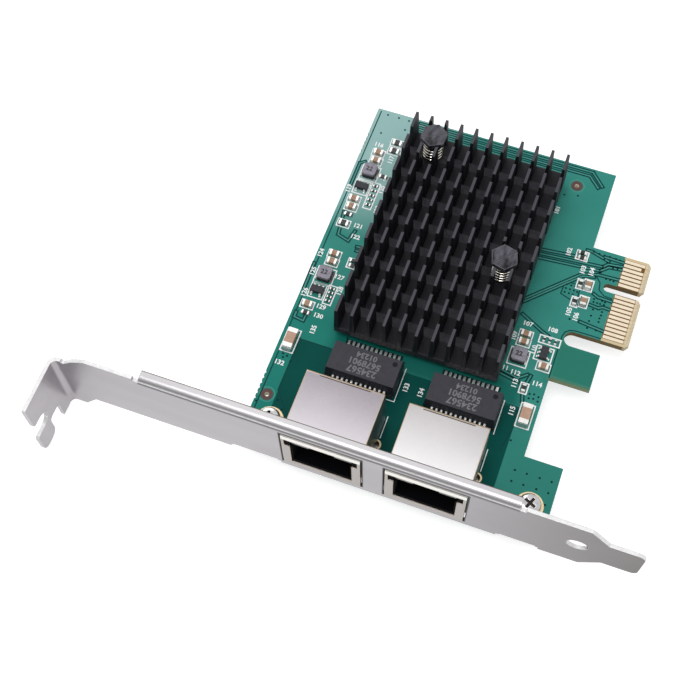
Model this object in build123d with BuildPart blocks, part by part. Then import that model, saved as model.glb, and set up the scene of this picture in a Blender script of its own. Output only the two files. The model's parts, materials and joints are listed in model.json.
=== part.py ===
"""Two port network card with its full height slot bracket.

X runs along the slot, from the screw tab to the tail, and is zero at the contact edge.
Y runs from the bracket to the rear of the card and is zero in the key notch.
Z is zero half way through the board, with the components on the +Z side.
All values are in millimetres.
"""
from build123d import *
import math
import os

os.makedirs("parts", exist_ok=True)

# Circuit board
board_thickness = 1.57
top = board_thickness / 2
under = -top
board_left_x = -68.9
board_rear_y = 28.25
board_front_y = -57.15
rear_edge_x = -12.95
front_edge_x = -13.5
contact_edge = 0.0
rear_tongue_y = 8.6
front_tongue_y = -12.6
tongue_corner = 0.7
key_notch_width = 1.9
key_notch_end_x = -8.45
side_slot_width = 3.4
side_slot_end_x = -13.1
side_tab_x = -5.0
side_tab_width = 8.3
front_tab_x = -5.5
front_tab_rear_y = -42.55
bevel_run = 0.6
bevel_drop = 0.35
snap_mark_ys = [-45.5, 18.5]
snap_bite_count = 6
snap_bite_pitch = 1.2
snap_bite_radius = 0.3
small_sides = 8
tooling_hole_radius = 0.53
tooling_holes = [(-20.46, 22.72), (-66.75, -47.15)]

# Contact fingers
finger_pitch = 1.0
finger_width = 0.7
finger_inner_x = -5.65
finger_outer_x = -0.7
finger_thickness = 0.05
first_finger_y = 1.5
front_finger_count = 11
rear_finger_count = 7
short_finger = 5
short_finger_cut = 1.2

# Bracket sheet
sheet = 0.8
bracket_front_y = -59.15
tab_outer_x = -107.08
tail_tip_x = 12.94
face_bottom_z = under - sheet
face_height = 18.42
face_top_z = face_bottom_z + face_height
tab_bend_radius = 1.2
fold_radius = 0.6
face_inner_y = bracket_front_y + sheet

# Bracket jog and screw tab
jog_top_end_x = tab_outer_x + 3.58
jog_middle_x = jog_top_end_x + 1.5
jog_top_x = jog_middle_x + 3.1
jog_bottom_end_x = tab_outer_x + 4.18
jog_bottom_x = jog_bottom_end_x + 2.8
bend_nick_x = tab_outer_x + 2.9
bend_nick_radius = 0.5
tab_top_z = top + 12.5
jog_middle_z = top + 14.1
tab_bottom_z = top - 6.1
tab_edge_y = -71.2
tab_lobe_y = -71.8
tab_lobe_inner_y = -66.9
tab_relief_inner_y = -63.2
tab_relief_top_z = top - 0.6
tab_corner = 0.5
notch_lip_corner = 0.9
lobe_corner = 1.8
relief_corner = 1.0
notch_width = 4.4
notch_centre_z = top + 2.6
notch_end_y = -66.9

# Bracket tail
tail_width = 10.0
tail_bottom_z = top + 1.9
taper_start_x = 2.2
taper_end_x = 6.05
tail_corner = 1.5
tail_hole_x = 0.62
tail_hole_z = top + 7.3
tail_hole_radius = 2.1

# Bracket flange on the top edge, and the two ears under the board
flange_ends_x = (-87.5, -11.3)
flange_depth = 2.45
relief_width = 1.2
relief_depth = 0.8
fold_root = 1.6
ear_spans_x = [(-69.3, -59.7), (-13.7, -6.4)]
ear_end_y = -48.5
ear_corner = 2.0

# Bracket screws
screw_y = -52.15
screw_x = [-64.2, -9.75]
screw_radius = 1.25
screw_hole_radius = 1.5
screw_length = 3.6
screw_head_radius = 2.3
screw_head_height = 1.8

# Network jacks
jack_centres_x = {"left": -50.2, "right": -29.15}
jack_width = 16.1
jack_height = 13.2
jack_front_y = -59.35
jack_rear_y = -44.5
shield_sheet = 0.25
port_side_gap = 0.3
port_end_gap = 0.1
skirt_drop = 0.65
aperture_width = 12.6
aperture_bottom = 1.1
aperture_step = 8.9
upper_aperture_width = 14.9
aperture_top = 11.5
shield_tab_width = 3.6
shield_tab_offset = 4.4
shield_tab_reach = 0.85
shield_tab_fall = 2.6
shield_leg_width = 1.4
shield_leg_y = -50.1
lead_out = 1.3
leg_hole_radius = 0.85
cavity_width = 11.9
cavity_bottom = 2.0
cavity_top = 8.8
cavity_rear_y = -46.9
mouth_rear_y = -54.6
keyway_steps = [(6.2, 10.4), (3.4, 11.4)]
post_sides = 12
post_radius = 1.6
post_clearance = 0.03
post_y = -52.6
post_offset = 5.72
contact_count = 8
contact_pitch = 1.02
contact_width = 0.45
contact_thickness = 0.25
groove_width = 0.6
groove_floor = 0.4
contact_front_y = -54.4
contact_tip_y = -48.8
contact_tip_z = 5.5
contact_tails_y = (-45.6, -48.1)
pin_hole_radius = 0.45

# Transformers
transformer_centres_x = {"left": -49.4, "right": -28.3}
transformer_y = -36.5
transformer_length = 14.9
transformer_depth = 6.8
transformer_bottom = 0.3
transformer_top = 5.5
lead_exit = 2.7
mould_draft = 6
lead_count = 12
lead_pitch = 1.0
lead_width = 0.4
lead_thickness = 0.2
lead_reach = 1.7

# Heat sink
sink_middle_x = -40.95
sink_front_y = -29.6
sink_rear_y = 22.6
sink_base_bottom = 1.5
sink_base_top = 3.2
fin_tip = 10.5
fin_count = 11
fin_pitch = 3.41
fin_tip_width = 0.6
fin_root_width = 1.1
row_pitch = 5.98
row_gap = 2.05
row_gap_count = 8
pocket_radius = 3.5

# Push pins
push_pins = [(-52.75, 18.25, 27.0), (-29.6, -5.95, 46.0)]
pin_shaft_radius = 1.45
pin_clearance = 0.1
pin_head_top = 10.0
pin_head_height = 1.2
pin_head_radius = 3.05
pin_slit_width = 0.2
pin_slit_depth = 0.15
pin_barb_radius = 1.95
pin_tip_radius = 1.0
pin_barb_height = 2.4
pin_split_width = 0.7
spring_wire = 0.5
spring_radius = 2.0
spring_turns = 4
spring_links = 10

# Chips under the heat sink
chip_height = 1.2
chips = {
    "controller_left": (-50.5, -18.0, 9.0),
    "controller_right": (-34.5, -19.5, 9.0),
    "lane_switch": (-40.0, 8.0, 11.0),
}

# Small parts on the board: (x, y, turned by 90 degrees)
inductor_size = 3.0
inductor_base_height = 1.2
inductor_height = 1.8
inductors = [(-64.9, 10.7, 0), (-65.2, -17.3, 0), (-20.75, -22.0, 0)]
regulator_length = 2.9
regulator_depth = 1.6
regulator_height = 1.1
regulator_gap = 0.1
regulator_lead_z = 0.55
regulator_pitch = 0.95
regulator_reach = 0.6
regulator_lead_thickness = 0.15
regulators = [(-65.4, 6.55, 0), (-65.5, -21.2, 0), (-16.05, -19.6, 90)]
capacitor_size = (2.0, 1.25, 0.9)
capacitors = [
    (-64.85, 16.4, 0), (-64.7, 14.15, 0), (-65.9, 3.05, 0), (-65.8, 0.9, 0),
    (-65.1, -11.6, 0), (-64.95, -13.6, 0), (-66.3, -25.0, 0), (-20.8, -16.45, 0),
    (-20.75, -18.35, 0), (-15.35, -22.5, 0), (-11.6, -0.85, 90), (-11.55, -5.0, 90),
]
large_capacitor_size = (4.5, 2.0, 1.6)
large_capacitors = [(-66.6, -34.1, 90), (-15.8, -34.2, 90)]
resistor_size = (2.0, 1.25, 0.55)
resistors = [(-61.7, 20.3, 0), (-61.65, 18.0, 0), (-65.95, -3.55, 0)]
chip_part_size = (1.6, 0.8, 0.5)
chip_parts = [
    (-60.6, -11.9, 0), (-60.4, -13.1, 0), (-65.8, -1.15, 0), (-66.0, -27.0, 0),
    (-17.8, -28.4, 90), (-13.25, -1.1, 90), (-13.3, -5.6, 90),
    (-14.8, 6.4, 0), (-14.6, 5.2, 0), (-61.8, 10.6, 0),
]
tiny_part_size = (1.0, 0.5, 0.35)
tiny_columns = [(-62.5, 5.15, 5, 1.27, 0), (-62.55, -21.35, 4, 1.0, 0)]
tiny_row = (-15.7, -16.3, 3, 1.22, 90)
terminal_share = 0.22


def save(piece, name):
    piece.part.label = name
    export_step(piece.part, f"parts/{name}.step")


def block(x_ends, y_ends, z_ends, mode=Mode.ADD):
    """Box between two corners, as a piece of the part being built."""
    middle = [sum(ends) / 2 for ends in (x_ends, y_ends, z_ends)]
    spans = [max(ends) - min(ends) for ends in (x_ends, y_ends, z_ends)]
    with Locations(tuple(middle)):
        Box(*spans, mode=mode)


def area(x_ends, y_ends, mode=Mode.ADD):
    """Rectangle between two corners, as a piece of the sketch being drawn."""
    with Locations((sum(x_ends) / 2, sum(y_ends) / 2)):
        Rectangle(max(x_ends) - min(x_ends), max(y_ends) - min(y_ends), mode=mode)


def upright(x, y, radius, z_ends, mode=Mode.ADD):
    """Cylinder along Z between two heights."""
    with Locations((x, y, sum(z_ends) / 2)):
        Cylinder(radius, max(z_ends) - min(z_ends), mode=mode)


def flat_sided(x, y, radius, sides, z_ends, mode=Mode.ADD):
    """Upright prism between two heights, for round things too small to need a true circle."""
    with BuildSketch(Plane.XY.offset(min(z_ends))) as section:
        with Locations((x, y)):
            RegularPolygon(radius, sides)
    extrude(section.sketch, amount=max(z_ends) - min(z_ends), mode=mode)


def around(centre, width):
    return centre - width / 2, centre + width / 2


def strip_outline(path, thickness):
    """Corners of a flat strip of even thickness whose middle follows the path."""
    points = [Vector(*point) for point in path]
    runs = [(b - a).normalized() for a, b in zip(points, points[1:])]
    left, right = [], []
    for index, point in enumerate(points):
        before = runs[max(index - 1, 0)]
        after = runs[min(index, len(runs) - 1)]
        along = (before + after).normalized()
        side = Vector(-along.Y, along.X) * (thickness / 2 / along.dot(after))
        left.append(tuple(point + side)[:2])
        right.append(tuple(point - side)[:2])
    return left + right[::-1]


def strip_solid(plane, path, thickness, width):
    """Bent strip, drawn on the plane and made equally wide on both its sides."""
    with BuildSketch(plane) as section:
        with BuildLine():
            Polyline(*strip_outline(path, thickness), close=True)
        make_face()
    extrude(section.sketch, amount=width / 2, both=True)


def fold_profile(plane, corners, inner, outer, inner_radius):
    """Section of a folded sheet: a mitred outline with its two bend corners rounded."""
    with BuildSketch(plane) as section:
        with BuildLine():
            Polyline(*corners, close=True)
        make_face()
        for corner, radius in ((inner, inner_radius), (outer, inner_radius + sheet)):
            fillet(section.vertices().sort_by_distance(Vector(*corner))[0], radius)
    return section.sketch


# Slot bracket, one folded sheet
with BuildPart() as bracket:
    tab_inner_x = tab_outer_x + sheet
    bent_tab = fold_profile(
        Plane.XY.offset(tab_bottom_z),
        [
            (tail_tip_x, bracket_front_y), (tail_tip_x, face_inner_y),
            (tab_outer_x, face_inner_y), (tab_outer_x, tab_lobe_y),
            (tab_inner_x, tab_lobe_y), (tab_inner_x, bracket_front_y),
        ],
        (tab_inner_x, bracket_front_y),
        (tab_outer_x, face_inner_y),
        tab_bend_radius,
    )
    extrude(bent_tab, amount=face_top_z - tab_bottom_z)
    # Face outline, seen from the front: jog, straight edges, taper and tail
    with BuildSketch(Plane.XZ.offset(-face_inner_y)) as face_outline:
        with BuildLine():
            Polyline(
                (jog_top_x, face_top_z), (jog_middle_x, jog_middle_z),
                (jog_top_end_x, tab_top_z), (tab_outer_x, tab_top_z),
                (tab_outer_x, tab_bottom_z), (jog_bottom_end_x, tab_bottom_z),
                (jog_bottom_x, face_bottom_z), (taper_start_x, face_bottom_z),
                (taper_end_x, tail_bottom_z), (tail_tip_x, tail_bottom_z),
                (tail_tip_x, tail_bottom_z + tail_width),
                (taper_end_x, tail_bottom_z + tail_width),
                (taper_start_x, face_top_z),
                close=True,
            )
        make_face()
        fillet(face_outline.vertices().group_by(Axis.X)[-1], tail_corner)
    extrude(amount=face_inner_y - tab_lobe_y + sheet, mode=Mode.INTERSECT)
    # Screw tab: open screw notch, rounded lobe, relief slot and a slightly shorter upper half
    with BuildSketch(Plane.YZ.offset(tab_outer_x - sheet)) as tab_cuts:
        notch_ends_z = around(notch_centre_z, notch_width)
        notch_centre_y = notch_end_y - notch_width / 2
        area((tab_lobe_y - sheet, notch_centre_y), notch_ends_z)
        with Locations((notch_centre_y, notch_centre_z)):
            Circle(notch_width / 2)
        area((tab_lobe_y - sheet, tab_edge_y), (notch_centre_z, tab_top_z + sheet))
        area((tab_lobe_inner_y, tab_relief_inner_y), (tab_bottom_z - sheet, tab_relief_top_z))
        fillet(
            tab_cuts.vertices().filter_by(
                lambda v: abs(v.Y - tab_relief_top_z) < 0.01 and v.X > tab_lobe_inner_y - 0.01
            ),
            relief_corner,
        )
    extrude(amount=3 * sheet, mode=Mode.SUBTRACT)
    for y, z, radius in (
        (tab_edge_y, tab_top_z, tab_corner),
        (tab_edge_y, notch_ends_z[1], notch_lip_corner),
        (tab_lobe_y, notch_ends_z[0], notch_lip_corner),
        (tab_lobe_y, tab_bottom_z, lobe_corner),
        (tab_lobe_inner_y, tab_bottom_z, lobe_corner),
    ):
        corner_edges = bracket.edges().filter_by(Axis.X)
        fillet(corner_edges.sort_by_distance((tab_outer_x + sheet / 2, y, z))[0], radius)
    with Locations(Location((bend_nick_x, face_inner_y, tab_top_z), (90, 0, 0))):
        Cylinder(bend_nick_radius, 4 * sheet, mode=Mode.SUBTRACT)
    # Port openings and the round hole in the tail
    for port_x in jack_centres_x.values():
        block(
            around(port_x, jack_width + 2 * port_side_gap),
            (bracket_front_y - sheet, face_inner_y + sheet),
            (top - skirt_drop - port_end_gap, top + jack_height + port_end_gap),
            Mode.SUBTRACT,
        )
    with Locations(Location((tail_hole_x, bracket_front_y, tail_hole_z), (90, 0, 0))):
        Cylinder(tail_hole_radius, 4 * sheet, mode=Mode.SUBTRACT)
    # Flange folded in along the top edge, with a relief notch at each end
    flange_left, flange_right = flange_ends_x
    flange_root_z = face_top_z - fold_root
    block(
        flange_ends_x,
        (bracket_front_y, face_inner_y),
        (flange_root_z, face_top_z),
        Mode.SUBTRACT,
    )
    flange = fold_profile(
        Plane.YZ.offset(flange_left),
        [
            (bracket_front_y, flange_root_z), (face_inner_y, flange_root_z),
            (face_inner_y, face_top_z - sheet),
            (bracket_front_y + flange_depth, face_top_z - sheet),
            (bracket_front_y + flange_depth, face_top_z), (bracket_front_y, face_top_z),
        ],
        (face_inner_y, face_top_z - sheet),
        (bracket_front_y, face_top_z),
        fold_radius,
    )
    extrude(flange, amount=flange_right - flange_left)
    for ends in ((flange_left - relief_width, flange_left), (flange_right, flange_right + relief_width)):
        block(
            ends,
            (bracket_front_y, face_inner_y),
            (face_top_z - relief_depth, face_top_z),
            Mode.SUBTRACT,
        )
    # Ears folded in along the bottom edge, under the board, tapped for the screws
    ear_root_z = face_bottom_z + fold_root
    for ear_left, ear_right in ear_spans_x:
        block(
            (ear_left, ear_right),
            (bracket_front_y, face_inner_y),
            (face_bottom_z, ear_root_z),
            Mode.SUBTRACT,
        )
        ear = fold_profile(
            Plane.YZ.offset(ear_left),
            [
                (bracket_front_y, ear_root_z), (face_inner_y, ear_root_z),
                (face_inner_y, under), (ear_end_y, under),
                (ear_end_y, face_bottom_z), (bracket_front_y, face_bottom_z),
            ],
            (face_inner_y, under),
            (bracket_front_y, face_bottom_z),
            fold_radius,
        )
        extrude(ear, amount=ear_right - ear_left)
        block(
            (ear_left - relief_width / 2, ear_left),
            (bracket_front_y, face_inner_y),
            (face_bottom_z, face_bottom_z + relief_depth),
            Mode.SUBTRACT,
        )
        block(
            (ear_right, ear_right + relief_width / 2),
            (bracket_front_y, face_inner_y),
            (face_bottom_z, face_bottom_z + relief_depth),
            Mode.SUBTRACT,
        )
    ear_ends = bracket.edges().filter_by(Axis.Z).filter_by(
        lambda e: abs(e.center().Y - ear_end_y) < 0.01
    )
    fillet(ear_ends, ear_corner)
    for x in screw_x:
        upright(x, screw_y, screw_radius, (face_bottom_z - sheet, under + sheet), Mode.SUBTRACT)
save(bracket, "bracket")

# The two screws through the board into the ears
with BuildPart() as bracket_screws:
    for x in screw_x:
        upright(x, screw_y, screw_radius, (top - screw_length, top))
        upright(x, screw_y, screw_head_radius, (top, top + screw_head_height))
    head_rims = bracket_screws.edges().group_by(Axis.Z)[-1]
    chamfer(head_rims, screw_head_height / 3)
save(bracket_screws, "bracket_screws")

# Circuit board with its tongues, slots, tabs and drilled holes
side_slot_front_y = front_tongue_y - side_slot_width
side_tab_front_y = side_slot_front_y - side_tab_width
with BuildPart() as circuit_board:
    with BuildSketch(Plane.XY.offset(under)) as board_outline:
        area((board_left_x, rear_edge_x), (board_front_y, board_rear_y))
        area((rear_edge_x - 1, contact_edge), (front_tongue_y, rear_tongue_y))
        area((rear_edge_x - 1, side_tab_x), (side_tab_front_y, side_slot_front_y))
        area((rear_edge_x - 1, front_tab_x), (board_front_y, front_tab_rear_y))
        area((front_edge_x, rear_edge_x), (front_tab_rear_y, side_tab_front_y), Mode.SUBTRACT)
        for end_x, middle_y, width in (
            (key_notch_end_x, 0.0, key_notch_width),
            (side_slot_end_x, front_tongue_y - side_slot_width / 2, side_slot_width),
        ):
            area((end_x + width / 2, contact_edge + 1), around(middle_y, width), Mode.SUBTRACT)
            with Locations((end_x + width / 2, middle_y)):
                Circle(width / 2, mode=Mode.SUBTRACT)
        tips = board_outline.vertices().filter_by(lambda v: abs(v.X - contact_edge) < 0.01)
        chamfer(tips, tongue_corner)
    extrude(amount=board_thickness)
    # Bevels along the contact edge
    for side in (top, under):
        inward = -1 if side > 0 else 1
        with BuildSketch(Plane.XZ.offset(-rear_tongue_y)):
            with BuildLine():
                Polyline(
                    (contact_edge - bevel_run, side), (contact_edge + 0.1, side),
                    (contact_edge + 0.1, side + inward * bevel_drop), close=True,
                )
            make_face()
        extrude(amount=rear_tongue_y - front_tongue_y, mode=Mode.SUBTRACT)
    # Drilled holes
    drill = (under - 1, top + 1)
    for mark_y in snap_mark_ys:
        for index in range(snap_bite_count):
            bite_y = mark_y + (index - (snap_bite_count - 1) / 2) * snap_bite_pitch
            flat_sided(board_left_x, bite_y, snap_bite_radius, small_sides, drill, Mode.SUBTRACT)
    for x, y in tooling_holes:
        flat_sided(x, y, tooling_hole_radius, small_sides, drill, Mode.SUBTRACT)
    for x in screw_x:
        upright(x, screw_y, screw_hole_radius, drill, Mode.SUBTRACT)
    for x, y, turn in push_pins:
        upright(x, y, pin_shaft_radius + pin_clearance, drill, Mode.SUBTRACT)
    for jack_x in jack_centres_x.values():
        for side in (-1, 1):
            leg_x = jack_x + side * (jack_width - shield_sheet) / 2
            flat_sided(leg_x, shield_leg_y, leg_hole_radius, small_sides, drill, Mode.SUBTRACT)
            hole_radius = post_radius + post_clearance
            post_x = jack_x + side * post_offset
            flat_sided(post_x, post_y, hole_radius, post_sides, drill, Mode.SUBTRACT)
        for index in range(contact_count):
            pin_x = jack_x + (index - (contact_count - 1) / 2) * contact_pitch
            pin_y = contact_tails_y[index % 2]
            flat_sided(pin_x, pin_y, pin_hole_radius, small_sides, drill, Mode.SUBTRACT)
save(circuit_board, "circuit_board")

# Contact fingers on both faces of the tongues
finger_ys = [-first_finger_y - index * finger_pitch for index in range(front_finger_count)]
finger_ys += [first_finger_y + index * finger_pitch for index in range(rear_finger_count)]
for face_name, face_z, out in (("component", top, 1), ("solder", under, -1)):
    with BuildPart() as fingers:
        for y in finger_ys:
            is_short = y == first_finger_y + short_finger * finger_pitch
            outer_x = finger_outer_x - (short_finger_cut if is_short else 0)
            z_ends = (face_z, face_z + out * finger_thickness)
            block((finger_inner_x, outer_x), around(y, finger_width), z_ends)
    save(fingers, f"contact_fingers_{face_name}_side")

# Network jacks: folded shield, moulded housing and spring contacts
shield_inner = jack_width / 2 - shield_sheet
for side_name, jack_x in jack_centres_x.items():
    with BuildPart() as jack_shield:
        block(around(jack_x, jack_width), (jack_front_y, jack_rear_y), (top, top + jack_height))
        rim = jack_shield.edges().filter_by(Axis.X).group_by(Axis.Z)[-1]
        fillet(rim, 2 * shield_sheet)
        block(
            (jack_x - shield_inner, jack_x + shield_inner),
            (jack_front_y + shield_sheet, jack_rear_y - shield_sheet),
            (top - 1, top + jack_height - shield_sheet),
            Mode.SUBTRACT,
        )
        front_plate = (jack_front_y, jack_front_y + shield_sheet)
        block(around(jack_x, jack_width), front_plate, (top - skirt_drop, top + aperture_bottom))
        block(
            around(jack_x, aperture_width),
            front_plate,
            (top + aperture_bottom, top + aperture_step),
            Mode.SUBTRACT,
        )
        block(
            around(jack_x, upper_aperture_width),
            front_plate,
            (top + aperture_step, top + aperture_top),
            Mode.SUBTRACT,
        )
        for side in (-1, 1):
            strip_solid(
                Plane.YZ.offset(jack_x + side * shield_tab_offset),
                [
                    (jack_front_y + shield_sheet / 2, top + aperture_top + shield_sheet / 2),
                    (jack_front_y + 2 * shield_sheet, top + aperture_top - shield_sheet / 2),
                    (jack_front_y + shield_tab_reach, top + aperture_top - shield_tab_fall),
                ],
                shield_sheet,
                shield_tab_width,
            )
            block(
                around(jack_x + side * (jack_width - shield_sheet) / 2, shield_sheet),
                around(shield_leg_y, shield_leg_width),
                (under - lead_out, top + 1),
            )
    save(jack_shield, f"jack_shield_{side_name}")

    contact_xs = [
        jack_x + (index - (contact_count - 1) / 2) * contact_pitch
        for index in range(contact_count)
    ]
    with BuildPart() as jack_housing:
        front_y = jack_front_y + shield_sheet
        block(
            (jack_x - shield_inner, jack_x + shield_inner),
            (front_y, jack_rear_y - shield_sheet),
            (top, top + jack_height - shield_sheet),
        )
        block(
            around(jack_x, cavity_width),
            (front_y, cavity_rear_y),
            (top + cavity_bottom, top + cavity_top),
            Mode.SUBTRACT,
        )
        block(
            around(jack_x, aperture_width),
            (front_y, mouth_rear_y),
            (top + cavity_top, top + aperture_top + 2 * shield_sheet),
            Mode.SUBTRACT,
        )
        for width, ceiling in keyway_steps:
            block(
                around(jack_x, width),
                (front_y, cavity_rear_y),
                (top + cavity_top, top + ceiling),
                Mode.SUBTRACT,
            )
        for x, tail_y in zip(contact_xs, contact_tails_y * (contact_count // 2)):
            groove_x = around(x, groove_width)
            tail_ends = around(tail_y, groove_width)
            block(
                groove_x,
                (contact_front_y - groove_width / 2, tail_ends[1]),
                (top + groove_floor, top + cavity_bottom),
                Mode.SUBTRACT,
            )
            block(groove_x, tail_ends, (top - 1, top + groove_floor), Mode.SUBTRACT)
        for side in (-1, 1):
            post_x = jack_x + side * post_offset
            flat_sided(post_x, post_y, post_radius, post_sides, (under - lead_out / 2, top))
    save(jack_housing, f"jack_housing_{side_name}")

    with BuildPart() as jack_contacts:
        run_z = top + groove_floor + contact_thickness / 2
        for x, tail_y in zip(contact_xs, contact_tails_y * (contact_count // 2)):
            strip_solid(
                Plane.YZ.offset(x),
                [
                    (tail_y, under - lead_out), (tail_y, run_z),
                    (contact_front_y, run_z),
                    (contact_front_y + contact_thickness, top + cavity_bottom),
                    (contact_tip_y, top + contact_tip_z),
                ],
                contact_thickness,
                contact_width,
            )
    save(jack_contacts, f"jack_contacts_{side_name}")


def gull_lead(x, y, out, foot_z, exit_z, reach, thickness, width, turned=False):
    """Gull wing lead that leaves a body at height exit_z and stands on the board."""
    profile = [
        (0, exit_z), (0.35 * reach, exit_z),
        (0.6 * reach, foot_z + thickness / 2), (reach, foot_z + thickness / 2),
    ]
    if turned:
        plane = Plane((x, y, 0), x_dir=(out, 0, 0), z_dir=(0, -out, 0))
    else:
        plane = Plane((x, y, 0), x_dir=(0, out, 0), z_dir=(out, 0, 0))
    strip_solid(plane, profile, thickness, width)


def moulded_body(x, y, length, depth, z_ends, parting, band):
    """Moulded chip body with draft above and below a narrow upright band."""
    low, high = z_ends
    for start, end in ((parting + band / 2, high), (parting - band / 2, low)):
        with BuildSketch(Plane.XY.offset(start)) as section:
            with Locations((x, y)):
                Rectangle(length, depth)
        extrude(section.sketch, amount=end - start, taper=mould_draft)
    block(around(x, length), around(y, depth), around(parting, band))


# Isolation transformers: a moulded body and two rows of leads
for side_name, body_x in transformer_centres_x.items():
    with BuildPart() as transformer:
        moulded_body(
            body_x, transformer_y, transformer_length, transformer_depth,
            (top + transformer_bottom, top + transformer_top), top + lead_exit, lead_thickness,
        )
    save(transformer, f"transformer_{side_name}")
    with BuildPart() as transformer_leads:
        for out in (-1, 1):
            for index in range(lead_count):
                gull_lead(
                    body_x + (index - (lead_count - 1) / 2) * lead_pitch,
                    transformer_y + out * transformer_depth / 2,
                    out, top, top + lead_exit, lead_reach, lead_thickness, lead_width,
                )
    save(transformer_leads, f"transformer_leads_{side_name}")

# Heat sink: an extruded comb, cut across into rows and cleared round the push pins
sink_width = (fin_count - 1) * fin_pitch + fin_root_width
sink_left_x, sink_right_x = around(sink_middle_x, sink_width)
sink_middle_y = (sink_front_y + sink_rear_y) / 2
with BuildPart() as heatsink:
    with BuildSketch(Plane.XZ.offset(-sink_rear_y)) as comb:
        area((sink_left_x, sink_right_x), (top + sink_base_bottom, top + sink_base_top))
        fin_height = fin_tip - sink_base_top
        for index in range(fin_count):
            fin_x = sink_middle_x + (index - (fin_count - 1) / 2) * fin_pitch
            root_z = top + sink_base_top
            with BuildLine():
                Polyline(
                    (fin_x - fin_root_width / 2, root_z), (fin_x + fin_root_width / 2, root_z),
                    (fin_x + fin_tip_width / 2, root_z + fin_height),
                    (fin_x - fin_tip_width / 2, root_z + fin_height),
                    close=True,
                )
            make_face()
    extrude(amount=sink_rear_y - sink_front_y)
    for index in range(row_gap_count):
        gap_y = sink_middle_y + (index - (row_gap_count - 1) / 2) * row_pitch
        block(
            (sink_left_x - 1, sink_right_x + 1),
            around(gap_y, row_gap),
            (top + sink_base_top, top + fin_tip + 1),
            Mode.SUBTRACT,
        )
    for x, y, turn in push_pins:
        upright(x, y, pocket_radius, (top + sink_base_top, top + fin_tip + 1), Mode.SUBTRACT)
        upright(x, y, pin_shaft_radius + pin_clearance, (top, top + fin_tip), Mode.SUBTRACT)
save(heatsink, "heatsink")

# Push pins: slotted hexagonal head, shaft, and a split barb behind the board
with BuildPart() as push_pin_group:
    for x, y, turn in push_pins:
        with BuildSketch(Plane((x, y, top + pin_head_top - pin_head_height))):
            RegularPolygon(pin_head_radius, 6, rotation=turn)
        extrude(amount=pin_head_height)
        upright(x, y, pin_shaft_radius, (under, top + pin_head_top - pin_head_height))
        for radius, z in ((pin_barb_radius, under), (pin_tip_radius, under - pin_barb_height)):
            with BuildSketch(Plane((x, y, z))):
                RegularPolygon(radius, small_sides)
        loft()
        with Locations(Location((x, y, under - pin_barb_height / 2), (0, 0, turn))):
            Box(3 * pin_barb_radius, pin_split_width, pin_barb_height, mode=Mode.SUBTRACT)
        slit_z = top + pin_head_top
        with Locations(Location((x, y, slit_z), (0, 0, turn))):
            Box(3 * pin_head_radius, pin_slit_width, 2 * pin_slit_depth, mode=Mode.SUBTRACT)
save(push_pin_group, "push_pins")

# Compression springs round the push pins, wound as short straight links
spring_low = top + sink_base_top + spring_wire / 2
spring_high = top + pin_head_top - pin_head_height - spring_wire / 2
link_count = spring_turns * spring_links
with BuildPart() as push_pin_springs:
    for x, y, turn in push_pins:
        coil_points = []
        for index in range(link_count + 1):
            angle = math.tau * index / spring_links
            rise = (spring_high - spring_low) * index / link_count
            coil_points.append(
                (
                    x + spring_radius * math.cos(angle),
                    y + spring_radius * math.sin(angle),
                    spring_low + rise,
                )
            )
        with BuildLine():
            coil = Polyline(*coil_points)
        with BuildSketch(Plane(coil @ 0, x_dir=(1, 0, 0), z_dir=coil % 0)):
            Rectangle(spring_wire, spring_wire)
        sweep(path=coil, transition=Transition.RIGHT)
save(push_pin_springs, "push_pin_springs")

# Chips under the heat sink, and the thermal pads between them
with BuildPart() as thermal_pads:
    for x, y, size in chips.values():
        block(
            around(x, size), around(y, size), (top + chip_height, top + sink_base_bottom),
        )
save(thermal_pads, "thermal_pads")
for name, (x, y, size) in chips.items():
    with BuildPart() as chip:
        block(around(x, size), around(y, size), (top, top + chip_height))
        chamfer(chip.edges().filter_by(Axis.Z), size / 30)
    save(chip, name)


def turned_block(place, along_ends, across, z_ends):
    """Box given along a small part's own length, put at the part's place."""
    x, y, turn = place
    middle = sum(along_ends) / 2
    span = max(along_ends) - min(along_ends)
    with Locations(Location((x, y, sum(z_ends) / 2), (0, 0, turn))):
        with Locations((middle, 0, 0)):
            Box(span, across, max(z_ends) - min(z_ends))


# Power inductors: a dark base with the terminals and a paler top
with BuildPart() as inductor_bases:
    for place in inductors:
        half = inductor_size / 2
        turned_block(place, (-half, half), inductor_size, (top, top + inductor_base_height))
    chamfer(inductor_bases.edges().filter_by(Axis.Z), inductor_size / 8)
save(inductor_bases, "inductor_bases")
with BuildPart() as inductor_tops:
    for place in inductors:
        half = inductor_size / 2
        turned_block(
            place, (-half, half), inductor_size,
            (top + inductor_base_height, top + inductor_height),
        )
    chamfer(inductor_tops.edges().filter_by(Axis.Z), inductor_size / 8)
save(inductor_tops, "inductor_tops")

# Regulator chips with three leads on one side and two on the other
with BuildPart() as regulator_bodies:
    for x, y, turn in regulators:
        length, depth = regulator_length, regulator_depth
        if turn:
            length, depth = depth, length
        moulded_body(
            x, y, length, depth, (top + regulator_gap, top + regulator_height),
            top + regulator_lead_z, regulator_lead_thickness,
        )
save(regulator_bodies, "regulator_bodies")
with BuildPart() as regulator_leads:
    for x, y, turn in regulators:
        for side, steps in ((1, (-1, 0, 1)), (-1, (-1, 1))):
            for step in steps:
                along = step * regulator_pitch
                across = side * regulator_depth / 2
                if turn:
                    lead_x, lead_y, out = x - across, y + along, -side
                else:
                    lead_x, lead_y, out = x + along, y + across, side
                gull_lead(
                    lead_x, lead_y, out, top, top + regulator_lead_z, regulator_reach,
                    regulator_lead_thickness, lead_width, turned=bool(turn),
                )
save(regulator_leads, "regulator_leads")

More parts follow.
